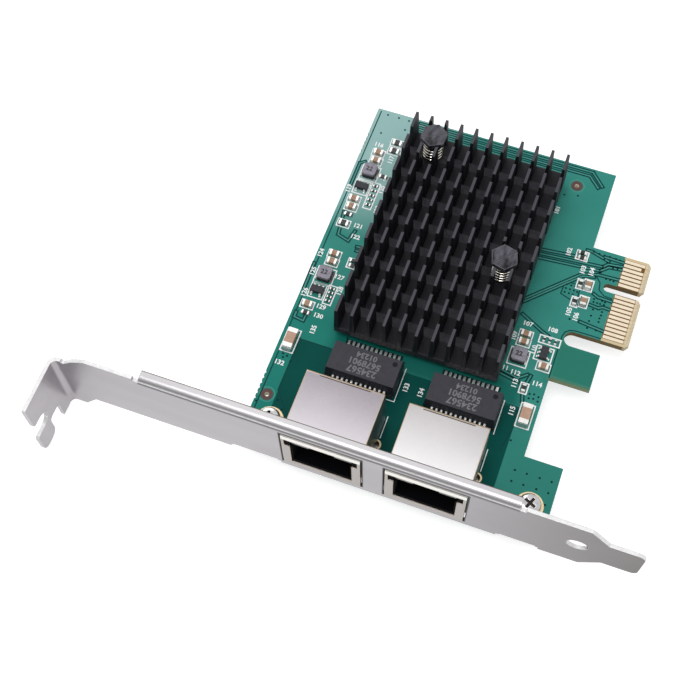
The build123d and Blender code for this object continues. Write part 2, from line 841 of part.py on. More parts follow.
# Capacitors and resistors: a body between two metal ends
row_x, row_y, row_count, row_step, row_turn = tiny_row
small_kinds = {
    "capacitor": [(capacitor_size, capacitors)],
    "large_capacitor": [(large_capacitor_size, large_capacitors)],
    "resistor": [
        (resistor_size, resistors),
        (chip_part_size, chip_parts),
        (
            tiny_part_size,
            [
                (x, y + (index - (count - 1) / 2) * pitch, turn)
                for x, y, count, pitch, turn in tiny_columns
                for index in range(count)
            ]
            + [
                (row_x + (index - (row_count - 1) / 2) * row_step, row_y, row_turn)
                for index in range(row_count)
            ],
        ),
    ],
}
for kind, groups in small_kinds.items():
    with BuildPart() as small_bodies:
        for (length, width, height), places in groups:
            inner = length * (0.5 - terminal_share)
            for place in places:
                turned_block(place, (-inner, inner), width, (top, top + height))
    save(small_bodies, f"{kind}_bodies")
    with BuildPart() as small_ends:
        for (length, width, height), places in groups:
            inner = length * (0.5 - terminal_share)
            for place in places:
                for ends in ((-length / 2, -inner), (inner, length / 2)):
                    turned_block(place, ends, width, (top, top + height))
    save(small_ends, f"{kind}_ends")
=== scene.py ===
"""Network card with its slot bracket: finishes, printed and soldered details, and the studio."""

import json
import math

import bpy
from mathutils import Matrix, Vector


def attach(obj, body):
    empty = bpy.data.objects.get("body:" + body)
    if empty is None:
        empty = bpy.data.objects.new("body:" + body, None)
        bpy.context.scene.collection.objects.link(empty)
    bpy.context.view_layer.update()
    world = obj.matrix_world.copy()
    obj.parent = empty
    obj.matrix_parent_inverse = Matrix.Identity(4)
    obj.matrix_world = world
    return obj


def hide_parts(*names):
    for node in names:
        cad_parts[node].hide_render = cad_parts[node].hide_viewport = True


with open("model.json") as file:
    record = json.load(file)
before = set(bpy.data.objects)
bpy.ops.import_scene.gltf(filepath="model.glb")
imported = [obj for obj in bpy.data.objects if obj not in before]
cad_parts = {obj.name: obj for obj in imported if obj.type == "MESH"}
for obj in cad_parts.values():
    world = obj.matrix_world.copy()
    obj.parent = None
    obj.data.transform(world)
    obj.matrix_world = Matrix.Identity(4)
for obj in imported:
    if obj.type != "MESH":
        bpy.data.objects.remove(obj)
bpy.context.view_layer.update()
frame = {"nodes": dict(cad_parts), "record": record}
nodes = frame["nodes"]

# Places in millimetres, as in the part: X along the slot, Y to the rear, Z up from the board's middle
BOARD_TOP = 0.785
BOARD_UNDER = -0.785
INK = 0.02
INK_TOP = BOARD_TOP + INK
CONTACT_TIP = 1.15
CONTACTS_MIDDLE = (-2.4, -2.0, 0.0)
JACK_TOP = BOARD_TOP + 13.2
FIN_TIPS = BOARD_TOP + 10.5
TRANSFORMER_TOP = BOARD_TOP + 5.5
INDUCTOR_TOP = BOARD_TOP + 1.8
FLANGE_X = -49.4
FLANGE_HALF = 38.2
JACKS = {"left": -50.2, "right": -29.15}
TRANSFORMERS = {"left": -49.4, "right": -28.3}
SCREWS = [(-64.2, -52.15, 20.0), (-9.75, -52.15, 65.0)]
PUSH_PINS = [(-52.75, 18.25), (-29.6, -5.95)]
INDUCTORS = [(-64.9, 10.7), (-65.2, -17.3), (-20.75, -22.0)]
SMALL_PARTS = [
    (-64.85, 16.4, 0), (-64.7, 14.15, 0), (-65.9, 3.05, 0), (-65.8, 0.9, 0), (-65.1, -11.6, 0),
    (-64.95, -13.6, 0), (-66.3, -25.0, 0), (-20.8, -16.45, 0), (-20.75, -18.35, 0),
    (-15.35, -22.5, 0), (-11.6, -0.85, 90), (-11.55, -5.0, 90), (-61.7, 20.3, 0),
    (-61.65, 18.0, 0), (-65.95, -3.55, 0),
]
LARGE_CAPACITORS = [(-66.6, -34.1, 90), (-15.8, -34.2, 90)]
CHIP_PARTS = [
    (-60.6, -11.9, 0), (-60.4, -13.1, 0), (-65.8, -1.15, 0), (-66.0, -27.0, 0), (-17.8, -28.4, 90),
    (-13.25, -1.1, 90), (-13.3, -5.6, 90), (-14.8, 6.4, 0), (-14.6, 5.2, 0), (-61.8, 10.6, 0),
]
TINY_PARTS = [(-62.5, 5.15 + 1.27 * step, 0) for step in (-2, -1, 0, 1, 2)]
TINY_PARTS += [(-62.55, -21.35 + step, 0) for step in (-1.5, -0.5, 0.5, 1.5)]
TINY_PARTS += [(-15.7 + 1.22 * step, -16.3, 90) for step in (-1, 0, 1)]
TOOLING_HOLES = [(-20.46, 22.72), (-66.75, -47.15)]
SLOT_EDGES_Y = (-16.0, -12.6)
SLOT_END_X = -13.1
SLOT_EDGE_X = -12.95
SLOT_CORNER_TIP = 0.2
SINK_MIDDLE_Y = -3.5
ROW_PITCH = 5.98
ROW_GAP = 2.05
TRANSFORMER_Y = -36.5
SHOULDER_REACH = 3.65
LEADS_X = [body_x + (index - 5.5) for body_x in TRANSFORMERS.values() for index in range(12)]
LEG_REACH = 7.925
LEG_Y = -50.1
TAIL_PITCH = 1.02
TAIL_ROWS_Y = (-45.6, -48.1)
FLOOR_Z = -6.2

# Widths of the printed lines, tracks and edges of copper, and the radius of a via
FRAME_LINE = 0.27
GROUP_LINE = 0.19
TRACK_EDGE = 0.96
TRACK_TOP = 0.30
POUR_EDGE = 0.26
VIA_RADIUS = 0.24


# Slow changes of the green: middle, half size, rim and tint of each area of the board; the first area
# is a painted sheen toward the far left corner, the last a painted darker reflection on the side tab
GREEN_AREAS_AND_PAINTED_REFLECTIONS = [
    # Painted sheen: a pale tint toward the far left corner, standing in for reflected light
    ((-66.0, 22.0, 0.0), (9.0, 17.0, 2.0), 22.0, (0.50, 0.68, 0.68)),
    ((-60.0, -46.0, 0.0), (14.0, 20.0, 2.0), 9.0, (0.004, 0.190, 0.148)),
    ((-38.0, -30.5, 0.0), (20.0, 3.0, 2.0), 4.0, (0.003, 0.125, 0.100)),
    ((-9.0, -50.0, 0.0), (8.0, 11.0, 2.0), 6.0, (0.028, 0.205, 0.165)),
    # Painted darker reflection: a darker tint on the side tab
    ((-6.0, -20.5, 0.0), (8.0, 5.0, 2.0), 2.5, (0.026, 0.190, 0.140)),
]


# Node groups that several finishes share


def new_group(name, inputs, outputs):
    group = bpy.data.node_groups.new(name, "ShaderNodeTree")
    for label, kind, value in inputs:
        socket = group.interface.new_socket(name=label, in_out="INPUT", socket_type=kind)
        if value is not None:
            socket.default_value = value
    for label, kind in outputs:
        group.interface.new_socket(name=label, in_out="OUTPUT", socket_type=kind)
    return group, group.nodes.new("NodeGroupInput"), group.nodes.new("NodeGroupOutput")


def math_node(tree, operation, first, second=None, third=None, clamp=False):
    node = tree.nodes.new("ShaderNodeMath")
    node.operation = operation
    node.use_clamp = clamp
    for slot, value in enumerate((first, second, third)):
        if value is None:
            continue
        if isinstance(value, (int, float)):
            node.inputs[slot].default_value = value
        else:
            tree.links.new(value, node.inputs[slot])
    return node.outputs[0]


def noise_node(tree, vector, scale, detail=2.0, roughness=0.5):
    node = tree.nodes.new("ShaderNodeTexNoise")
    tree.links.new(vector, node.inputs["Vector"])
    if isinstance(scale, (int, float)):
        node.inputs["Scale"].default_value = scale
    else:
        tree.links.new(scale, node.inputs["Scale"])
    node.inputs["Detail"].default_value = detail
    node.inputs["Roughness"].default_value = roughness
    return node.outputs["Fac"]


def build_surface_tone():
    """Slow change of tone over a surface, and a fine grain for its relief."""
    group, given, made = new_group(
        "surface_tone",
        [
            ("Vector", "NodeSocketVector", None),
            ("Patch Scale", "NodeSocketFloat", 60.0),
            ("Grain Scale", "NodeSocketFloat", 3000.0),
            ("Contrast", "NodeSocketFloat", 1.0),
        ],
        [("Tone", "NodeSocketFloat"), ("Grain", "NodeSocketFloat")],
    )
    patch = noise_node(group, given.outputs["Vector"], given.outputs["Patch Scale"], 3.0, 0.55)
    grain = noise_node(group, given.outputs["Vector"], given.outputs["Grain Scale"], 2.0, 0.6)
    centred = math_node(group, "SUBTRACT", patch, 0.5)
    spread = math_node(group, "MULTIPLY", centred, given.outputs["Contrast"])
    mixed = math_node(group, "MULTIPLY_ADD", grain, 0.25, spread)
    tone = math_node(group, "ADD", mixed, 0.375, clamp=True)
    group.links.new(tone, made.inputs["Tone"])
    group.links.new(grain, made.inputs["Grain"])
    return group


def build_box_mask():
    """One inside a box given by its middle and half sizes, nought outside, with a soft rim."""
    group, given, made = new_group(
        "box_mask",
        [
            ("Vector", "NodeSocketVector", None),
            ("Middle", "NodeSocketVector", (0.0, 0.0, 0.0)),
            ("Half", "NodeSocketVector", (0.01, 0.01, 0.01)),
            ("Rim", "NodeSocketFloat", 0.0003),
        ],
        [("Mask", "NodeSocketFloat")],
    )
    away = group.nodes.new("ShaderNodeVectorMath")
    away.operation = "SUBTRACT"
    group.links.new(given.outputs["Vector"], away.inputs[0])
    group.links.new(given.outputs["Middle"], away.inputs[1])
    size = group.nodes.new("ShaderNodeVectorMath")
    size.operation = "ABSOLUTE"
    group.links.new(away.outputs[0], size.inputs[0])
    over = group.nodes.new("ShaderNodeVectorMath")
    over.operation = "SUBTRACT"
    group.links.new(given.outputs["Half"], over.inputs[0])
    group.links.new(size.outputs[0], over.inputs[1])
    parts = group.nodes.new("ShaderNodeSeparateXYZ")
    group.links.new(over.outputs[0], parts.inputs[0])
    least = math_node(group, "MINIMUM", parts.outputs[0], parts.outputs[1])
    least = math_node(group, "MINIMUM", least, parts.outputs[2])
    mask = math_node(group, "DIVIDE", least, given.outputs["Rim"])
    mask = math_node(group, "ADD", mask, 0.5, clamp=True)
    group.links.new(mask, made.inputs["Mask"])
    return group


def build_soft_edge():
    """Normal that is rounded near edges, and a mask of those edges."""
    group, given, made = new_group(
        "soft_edge",
        [("Radius", "NodeSocketFloat", 0.0001)],
        [("Normal", "NodeSocketVector"), ("Edge", "NodeSocketFloat")],
    )
    bevel = group.nodes.new("ShaderNodeBevel")
    bevel.samples = 6
    group.links.new(given.outputs["Radius"], bevel.inputs["Radius"])
    face = group.nodes.new("ShaderNodeNewGeometry")
    dot = group.nodes.new("ShaderNodeVectorMath")
    dot.operation = "DOT_PRODUCT"
    group.links.new(bevel.outputs["Normal"], dot.inputs[0])
    group.links.new(face.outputs["Normal"], dot.inputs[1])
    away = math_node(group, "SUBTRACT", 1.0, dot.outputs["Value"])
    edge = math_node(group, "MULTIPLY", away, 6.0, clamp=True)
    group.links.new(bevel.outputs["Normal"], made.inputs["Normal"])
    group.links.new(edge, made.inputs["Edge"])
    return group


SURFACE_TONE = build_surface_tone()
BOX_MASK = build_box_mask()
SOFT_EDGE = build_soft_edge()


def start_finish(name):
    """New material with its shader and its Object coordinates."""
    material = bpy.data.materials.new(name)
    material.use_nodes = True
    tree = material.node_tree
    shader = tree.nodes["Principled BSDF"]
    place = tree.nodes.new("ShaderNodeTexCoord")
    return material, tree, shader, place.outputs["Object"]


def add_tone(tree, vector, patch, grain, contrast):
    tone = tree.nodes.new("ShaderNodeGroup")
    tone.node_tree = SURFACE_TONE
    tree.links.new(vector, tone.inputs["Vector"])
    tone.inputs["Patch Scale"].default_value = patch
    tone.inputs["Grain Scale"].default_value = grain
    tone.inputs["Contrast"].default_value = contrast
    return tone.outputs["Tone"], tone.outputs["Grain"]


def add_mask(tree, vector, middle, half, rim=0.3):
    """Mask of a box given in millimetres."""
    mask = tree.nodes.new("ShaderNodeGroup")
    mask.node_tree = BOX_MASK
    tree.links.new(vector, mask.inputs["Vector"])
    mask.inputs["Middle"].default_value = [value / 1000 for value in middle]
    mask.inputs["Half"].default_value = [value / 1000 for value in half]
    mask.inputs["Rim"].default_value = rim / 1000
    return mask.outputs["Mask"]


def add_soft_edge(tree, radius):
    edge = tree.nodes.new("ShaderNodeGroup")
    edge.node_tree = SOFT_EDGE
    edge.inputs["Radius"].default_value = radius / 1000
    return edge.outputs["Normal"], edge.outputs["Edge"]


def mix_colours(tree, amount, first, second):
    node = tree.nodes.new("ShaderNodeMix")
    node.data_type = "RGBA"
    tree.links.new(amount, node.inputs["Factor"])
    for label, value in (("A", first), ("B", second)):
        socket = [s for s in node.inputs if s.name == label and s.type == "RGBA"][0]
        if isinstance(value, (tuple, list)):
            socket.default_value = (*value[:3], 1.0)
        else:
            tree.links.new(value, socket)
    return [s for s in node.outputs if s.type == "RGBA"][0]


def tint_box(tree, vector, colour, middle, half, rim, tint):
    """Colour with a box of it, given in millimetres, turned to another tint."""
    return mix_colours(tree, add_mask(tree, vector, middle, half, rim), colour, tint)


def coordinate(tree, vector, axis):
    """One coordinate of a place in metres, or one part of a direction."""
    node = tree.nodes.new("ShaderNodeSeparateXYZ")
    tree.links.new(vector, node.inputs[0])
    return node.outputs[axis]


def ramp(tree, value, start, end, low=0.0, high=1.0):
    """Low at the start and high at the end of a range of the value."""
    node = tree.nodes.new("ShaderNodeMapRange")
    tree.links.new(value, node.inputs["Value"])
    node.inputs["From Min"].default_value = start
    node.inputs["From Max"].default_value = end
    node.inputs["To Min"].default_value = low
    node.inputs["To Max"].default_value = high
    return node.outputs["Result"]


def spread_value(tree, tone, low, high):
    """Low where the tone is nought and high where it is one."""
    return ramp(tree, tone, 0.0, 1.0, low, high)


def add_relief(tree, shader, height, depth, strength=0.4, normal=None):
    bump = tree.nodes.new("ShaderNodeBump")
    bump.inputs["Strength"].default_value = strength
    bump.inputs["Distance"].default_value = depth / 1000
    tree.links.new(height, bump.inputs["Height"])
    if normal is not None:
        tree.links.new(normal, bump.inputs["Normal"])
    tree.links.new(bump.outputs["Normal"], shader.inputs["Normal"])


def stretched(tree, vector, scales):
    node = tree.nodes.new("ShaderNodeMapping")
    node.inputs["Scale"].default_value = scales
    tree.links.new(vector, node.inputs["Vector"])
    return node.outputs["Vector"]


def plain_finish(
    name, dark, light, rough, metal=0.0, patch=60.0, grain=3000.0, contrast=1.0,
    depth=0.01, strength=0.3, drawn=None, edge=None, edge_highlight_colour=None, gloss=0.4,
):
    """Finish whose colour, gloss and relief drift a little, with perhaps softened edges that carry a
    painted highlight.
    """
    material, tree, shader, vector = start_finish(name)
    flow = stretched(tree, vector, drawn) if drawn else vector
    tone, fine = add_tone(tree, flow, patch, grain, contrast)
    colour = mix_colours(tree, tone, dark, light)
    normal = None
    if edge:
        normal, edge_tint_and_highlight = add_soft_edge(tree, edge)
        # The edge colour is a painted highlight along the softened edges
        if edge_highlight_colour:
            colour = mix_colours(tree, edge_tint_and_highlight, colour, edge_highlight_colour)
    tree.links.new(colour, shader.inputs["Base Color"])
    tree.links.new(spread_value(tree, tone, rough[0], rough[1]), shader.inputs["Roughness"])
    shader.inputs["Metallic"].default_value = metal
    shader.inputs["Specular IOR Level"].default_value = gloss
    add_relief(tree, shader, fine, depth, strength, normal)
    return material


def board_finish():
    """Green mask over copper, darker where no copper lies; bare laminate at the contacts and edges;
    painted reflections in two areas of the green, and tooling hole walls painted pale as painted
    light.
    """
    material, tree, shader, vector = start_finish("green_mask_on_laminate")
    tone, fine = add_tone(tree, vector, 70.0, 2600.0, 0.9)
    plain_green = mix_colours(tree, tone, (0.030, 0.215, 0.180), (0.052, 0.295, 0.248))
    green = plain_green
    for middle, half, rim, tint in GREEN_AREAS_AND_PAINTED_REFLECTIONS:
        green = tint_box(tree, vector, green, middle, half, rim, tint)
    clear_tone = mix_colours(tree, tone, (0.000, 0.055, 0.046), (0.001, 0.088, 0.074))
    clear_middle = (-41.1, -46.5, BOARD_TOP)
    green = tint_box(tree, vector, green, clear_middle, (23.8, 13.4, 0.3), 0.15, clear_tone)
    upper_side = math_node(tree, "GREATER_THAN", coordinate(tree, vector, "Z"), 0.0)
    green = mix_colours(tree, upper_side, plain_green, green)
    rail_tone = (0.66, 0.53, 0.33)
    green = tint_box(tree, vector, green, CONTACTS_MIDDLE, (3.45, 11.5, 2.0), 0.12, rail_tone)
    sand = noise_node(tree, vector, 2600.0, 3.0, 0.7)
    gaps = mix_colours(tree, sand, (0.10, 0.038, 0.006), (0.26, 0.13, 0.03))
    green = tint_box(tree, vector, green, CONTACTS_MIDDLE, (3.45, 9.95, 2.0), 0.12, gaps)
    tips = add_mask(tree, vector, (0.0, -2.0, 0.0), (CONTACT_TIP, 11.5, 2.0), 0.15)
    tip_tone = mix_colours(tree, sand, (0.42, 0.29, 0.14), (0.90, 0.82, 0.62))
    top_faces = mix_colours(tree, tips, green, tip_tone)
    core = add_mask(tree, vector, (-30.0, -15.0, 0.0), (60.0, 60.0, 0.765), 0.02)
    weave = noise_node(tree, stretched(tree, vector, (1.0, 1.0, 9.0)), 900.0, 3.0, 0.6)
    laminate = mix_colours(tree, weave, (0.11, 0.072, 0.04), (0.36, 0.28, 0.15))
    colour = mix_colours(tree, core, top_faces, laminate)
    tip_core = math_node(tree, "MULTIPLY", core, tips)
    colour = mix_colours(tree, tip_core, colour, tip_tone)
    milled_tone = (0.33, 0.40, 0.24)
    colour = tint_box(
        tree, vector, colour, (-9.0, -24.3, 0.0), (5.0, 0.6, 0.765), 0.05, milled_tone
    )
    # Pale walls of the tooling holes: painted light, standing in for the lit floor seen through them
    for x, y in TOOLING_HOLES:
        wall = (0.52, 0.52, 0.77)
        colour = tint_box(tree, vector, colour, (x, y, 0.0), wall, 0.01, (0.95, 0.88, 0.78))
    tree.links.new(colour, shader.inputs["Base Color"])
    tree.links.new(spread_value(tree, core, 0.34, 0.75), shader.inputs["Roughness"])
    shader.inputs["Specular IOR Level"].default_value = 0.05
    add_relief(tree, shader, fine, 0.006, 0.25)
    return material


def contact_finish():
    """Pale gold contacts, sandy where they run out into the bevelled tip."""
    material, tree, shader, vector = start_finish("gold_plating")
    tone, fine = add_tone(tree, vector, 500.0, 4000.0, 1.0)
    colour = mix_colours(tree, tone, (0.82, 0.69, 0.50), (0.92, 0.82, 0.66))
    tip_line = (-CONTACT_TIP, -2.0, 0.0)
    line_tone = (0.42, 0.25, 0.07)
    colour = tint_box(tree, vector, colour, tip_line, (0.14, 11.5, 2.0), 0.08, line_tone)
    tips = add_mask(tree, vector, (0.0, -2.0, 0.0), (CONTACT_TIP, 11.5, 2.0), 0.08)
    sand = noise_node(tree, vector, 2600.0, 3.0, 0.7)
    tip_tone = mix_colours(tree, sand, (0.44, 0.32, 0.17), (0.92, 0.83, 0.64))
    colour = mix_colours(tree, tips, colour, tip_tone)
    tree.links.new(colour, shader.inputs["Base Color"])
    tree.links.new(spread_value(tree, tips, 0.35, 0.0), shader.inputs["Metallic"])
    tree.links.new(spread_value(tree, tone, 0.18, 0.32), shader.inputs["Roughness"])
    add_relief(tree, shader, fine, 0.01, 0.1)
    return material


def shield_finish():
    """Bright folded sheet: paler toward the front and on the right jack as painted light, a painted
    shade on the front plate, a painted highlight on the rolled lip, golden cut edges, and dull inner
    tabs.
    """
    material, tree, shader, vector = start_finish("shield_metal")
    flow = stretched(tree, vector, (1.0, 1.0, 6.0))
    tone, fine = add_tone(tree, flow, 50.0, 1500.0, 0.6)
    # Paler toward the front: a painted gradient of reflected light, added to the random tone
    front_painted_light = ramp(tree, coordinate(tree, vector, "Y"), -0.0445, -0.058)
    drift = math_node(tree, "MULTIPLY_ADD", tone, 0.5, -0.25)
    drift = math_node(tree, "ADD", drift, front_painted_light, clamp=True)
    colour = mix_colours(tree, drift, (0.262, 0.240, 0.262), (0.520, 0.492, 0.520))
    # The right jack's shield painted paler than the left one: painted light
    paler = mix_colours(tree, drift, (0.400, 0.380, 0.385), (0.660, 0.648, 0.652))
    right_jack = (JACKS["right"], -50.0, 8.0)
    colour = tint_box(tree, vector, colour, right_jack, (9.0, 10.0, 8.0), 0.5, paler)
    # Front plate darker than the top: painted shade
    front_painted_shade = (0.37, 0.345, 0.335)
    colour = tint_box(
        tree, vector, colour, (-40.0, -59.3, 6.0), (20.0, 0.2, 9.0), 0.1, front_painted_shade
    )
    normal, edge_tint_and_highlight = add_soft_edge(tree, 0.22)
    colour = mix_colours(tree, edge_tint_and_highlight, colour, (0.50, 0.38, 0.24))
    roof = math_node(tree, "GREATER_THAN", coordinate(tree, vector, "Z"), (JACK_TOP - 0.12) / 1000)
    for jack_x in JACKS.values():
        around = add_mask(tree, vector, (jack_x, -51.9, 14.0), (8.1, 7.5, 1.0), 0.02)
        within = add_mask(tree, vector, (jack_x, -51.9, 14.0), (7.92, 6.98, 1.0), 0.12)
        outline = math_node(tree, "SUBTRACT", around, within, clamp=True)
        outline = math_node(tree, "MULTIPLY", outline, roof)
        colour = mix_colours(tree, outline, colour, (0.42, 0.32, 0.20))
        seam = (jack_x, -45.12, 14.0)
        seam_tone = (0.05, 0.035, 0.025)
        colour = tint_box(tree, vector, colour, seam, (5.2, 0.10, 1.0), 0.08, seam_tone)
    # Rolled lip painted near white: a painted highlight
    lip = (-40.0, -59.3, JACK_TOP - 0.6)
    colour = tint_box(tree, vector, colour, lip, (20.0, 0.5, 0.95), 0.2, (0.80, 0.78, 0.74))
    inner = add_mask(tree, vector, (-40.0, -58.5, JACK_TOP - 2.9), (20.0, 0.62, 1.5), 0.1)
    tab_tone = mix_colours(tree, fine, (0.05, 0.05, 0.055), (0.42, 0.42, 0.42))
    colour = mix_colours(tree, inner, colour, tab_tone)
    tree.links.new(colour, shader.inputs["Base Color"])
    tree.links.new(spread_value(tree, inner, 1.0, 0.0), shader.inputs["Metallic"])
    tree.links.new(spread_value(tree, tone, 0.26, 0.38), shader.inputs["Roughness"])
    add_relief(tree, shader, fine, 0.01, 0.12, normal)
    return material


def bracket_finish():
    """Nickel plated sheet: painted highlights on the rolled flange, the edges and the upward cut
    edges, painted shade along the fold, toward the tail and round the two ports.
    """
    material, tree, shader, vector = start_finish("nickel_plated_steel")
    tone, fine = add_tone(tree, stretched(tree, vector, (1.0, 4.0, 4.0)), 45.0, 900.0, 1.4)
    colour = mix_colours(tree, tone, (0.335, 0.318, 0.338), (0.445, 0.425, 0.450))
    # Darker toward the tail: painted shade
    painted_tail_shade = ramp(tree, coordinate(tree, vector, "X"), -0.030, 0.014, 0.0, 0.92)
    colour = mix_colours(tree, painted_tail_shade, colour, (0.085, 0.075, 0.070))
    # Dark line along the fold under the flange: a painted dark reflection
    fold = (FLANGE_X, -59.0, BOARD_TOP + 14.85)
    fold_painted_shade = (0.17, 0.163, 0.17)
    colour = tint_box(tree, vector, colour, fold, (FLANGE_HALF, 0.6, 0.35), 0.35, fold_painted_shade)
    # Flange painted in one lighter tone: a painted highlight
    flange_middle = (FLANGE_X, -57.6, BOARD_TOP + 16.3)
    flange = add_mask(tree, vector, flange_middle, (FLANGE_HALF, 2.0, 0.75), 0.5)
    colour = mix_colours(tree, flange, colour, (0.43, 0.42, 0.43))
    edge_middle = (FLANGE_X, -56.70, BOARD_TOP + 16.0)
    rear_edge = add_mask(tree, vector, edge_middle, (FLANGE_HALF, 0.16, 1.2), 0.12)
    normal, edge_tint_and_highlight = add_soft_edge(tree, 0.22)
    # Lighter softened edges: a painted highlight
    colour = mix_colours(tree, edge_tint_and_highlight, colour, (0.56, 0.55, 0.56))
    # Upward faces of the sheet's cut edges painted near white and less metallic: a painted highlight
    face = tree.nodes.new("ShaderNodeNewGeometry")
    upward = math_node(tree, "GREATER_THAN", coordinate(tree, face.outputs["Normal"], "Z"), 0.4)
    not_flange = math_node(tree, "SUBTRACT", 1.0, flange, clamp=True)
    top_edge_highlight_mask = math_node(tree, "MULTIPLY", upward, not_flange)
    speckle = noise_node(tree, vector, 1400.0, 2.0, 0.7)
    top_edge_highlight_tone = mix_colours(tree, speckle, (0.60, 0.585, 0.60), (1.0, 1.0, 1.0))
    colour = mix_colours(tree, top_edge_highlight_mask, colour, top_edge_highlight_tone)
    colour = mix_colours(tree, rear_edge, colour, (0.11, 0.085, 0.075))
    for jack_x in JACKS.values():
        around_port = (jack_x, -59.0, BOARD_TOP + 6.5)
        port_shade = (0.018, 0.016, 0.016)
        colour = tint_box(tree, vector, colour, around_port, (8.58, 1.0, 7.42), 0.12, port_shade)
    tree.links.new(colour, shader.inputs["Base Color"])
    tree.links.new(spread_value(tree, top_edge_highlight_mask, 1.0, 0.25), shader.inputs["Metallic"])
    tree.links.new(spread_value(tree, tone, 0.27, 0.39), shader.inputs["Roughness"])
    add_relief(tree, shader, fine, 0.01, 0.1, normal)
    return material


def screw_finish():
    """Bright plated screw, with painted shade inside its crossed recess and painted highlights on its
    edges.
    """
    material, tree, shader, vector = start_finish("screw_steel")
    tone, fine = add_tone(tree, vector, 900.0, 4000.0, 1.0)
    colour = mix_colours(tree, tone, (0.36, 0.345, 0.35), (0.66, 0.65, 0.66))
    normal, edge_tint_and_highlight = add_soft_edge(tree, 0.2)
    # Lighter softened edges: a painted highlight
    colour = mix_colours(tree, edge_tint_and_highlight, colour, (0.85, 0.84, 0.85))
    # Painted shade inside the crossed recess
    for x, y, _ in SCREWS:
        recess = (x, y, BOARD_TOP + 1.05)
        colour = tint_box(
            tree, vector, colour, recess, (1.4, 1.4, 0.32), 0.1, (0.035, 0.030, 0.028)
        )
    tree.links.new(colour, shader.inputs["Base Color"])
    shader.inputs["Metallic"].default_value = 1.0
    tree.links.new(spread_value(tree, tone, 0.12, 0.26), shader.inputs["Roughness"])
    add_relief(tree, shader, fine, 0.01, 0.12, normal)
    return material


def heat_sink_finish():
    """Black anodised metal: paler patches on the floor in the cross cuts, and painted highlights on
    the fin tips and softened edges.
    """
    material, tree, shader, vector = start_finish("black_anodised")
    tone, fine = add_tone(tree, vector, 700.0, 2500.0, 1.5)
    black = mix_colours(tree, tone, (0.0065, 0.0065, 0.0088), (0.019, 0.019, 0.0245))
    height = coordinate(tree, vector, "Z")
    along = math_node(tree, "SUBTRACT", coordinate(tree, vector, "Y"), SINK_MIDDLE_Y / 1000)
    rows = math_node(tree, "DIVIDE", along, ROW_PITCH / 1000)
    phase = math_node(tree, "FRACT", math_node(tree, "ADD", rows, 8.0))
    from_cut = math_node(tree, "ABSOLUTE", math_node(tree, "SUBTRACT", phase, 0.5))
    in_cut = math_node(tree, "LESS_THAN", from_cut, ROW_GAP / ROW_PITCH / 2)
    low = math_node(tree, "LESS_THAN", height, (BOARD_TOP + 3.4) / 1000)
    cut = math_node(tree, "MULTIPLY", in_cut, low)
    patchy = math_node(tree, "MULTIPLY", cut, spread_value(tree, tone, 0.1, 1.3), clamp=True)
    black = mix_colours(tree, patchy, black, (0.046, 0.043, 0.052))
    normal, edge_tint_and_highlight = add_soft_edge(tree, 0.12)
    # Fin tips and softened edges painted lighter: a painted highlight
    high = math_node(tree, "GREATER_THAN", height, (FIN_TIPS - 0.03) / 1000)
    tip = math_node(tree, "MAXIMUM", math_node(tree, "MULTIPLY", edge_tint_and_highlight, 0.35), high)
    black = mix_colours(tree, tip, black, (0.058, 0.058, 0.071))
    tree.links.new(black, shader.inputs["Base Color"])
    tree.links.new(spread_value(tree, tone, 0.42, 0.60), shader.inputs["Roughness"])
    shader.inputs["Specular IOR Level"].default_value = 0.18
    add_relief(tree, shader, fine, 0.01, 0.3, normal)
    return material


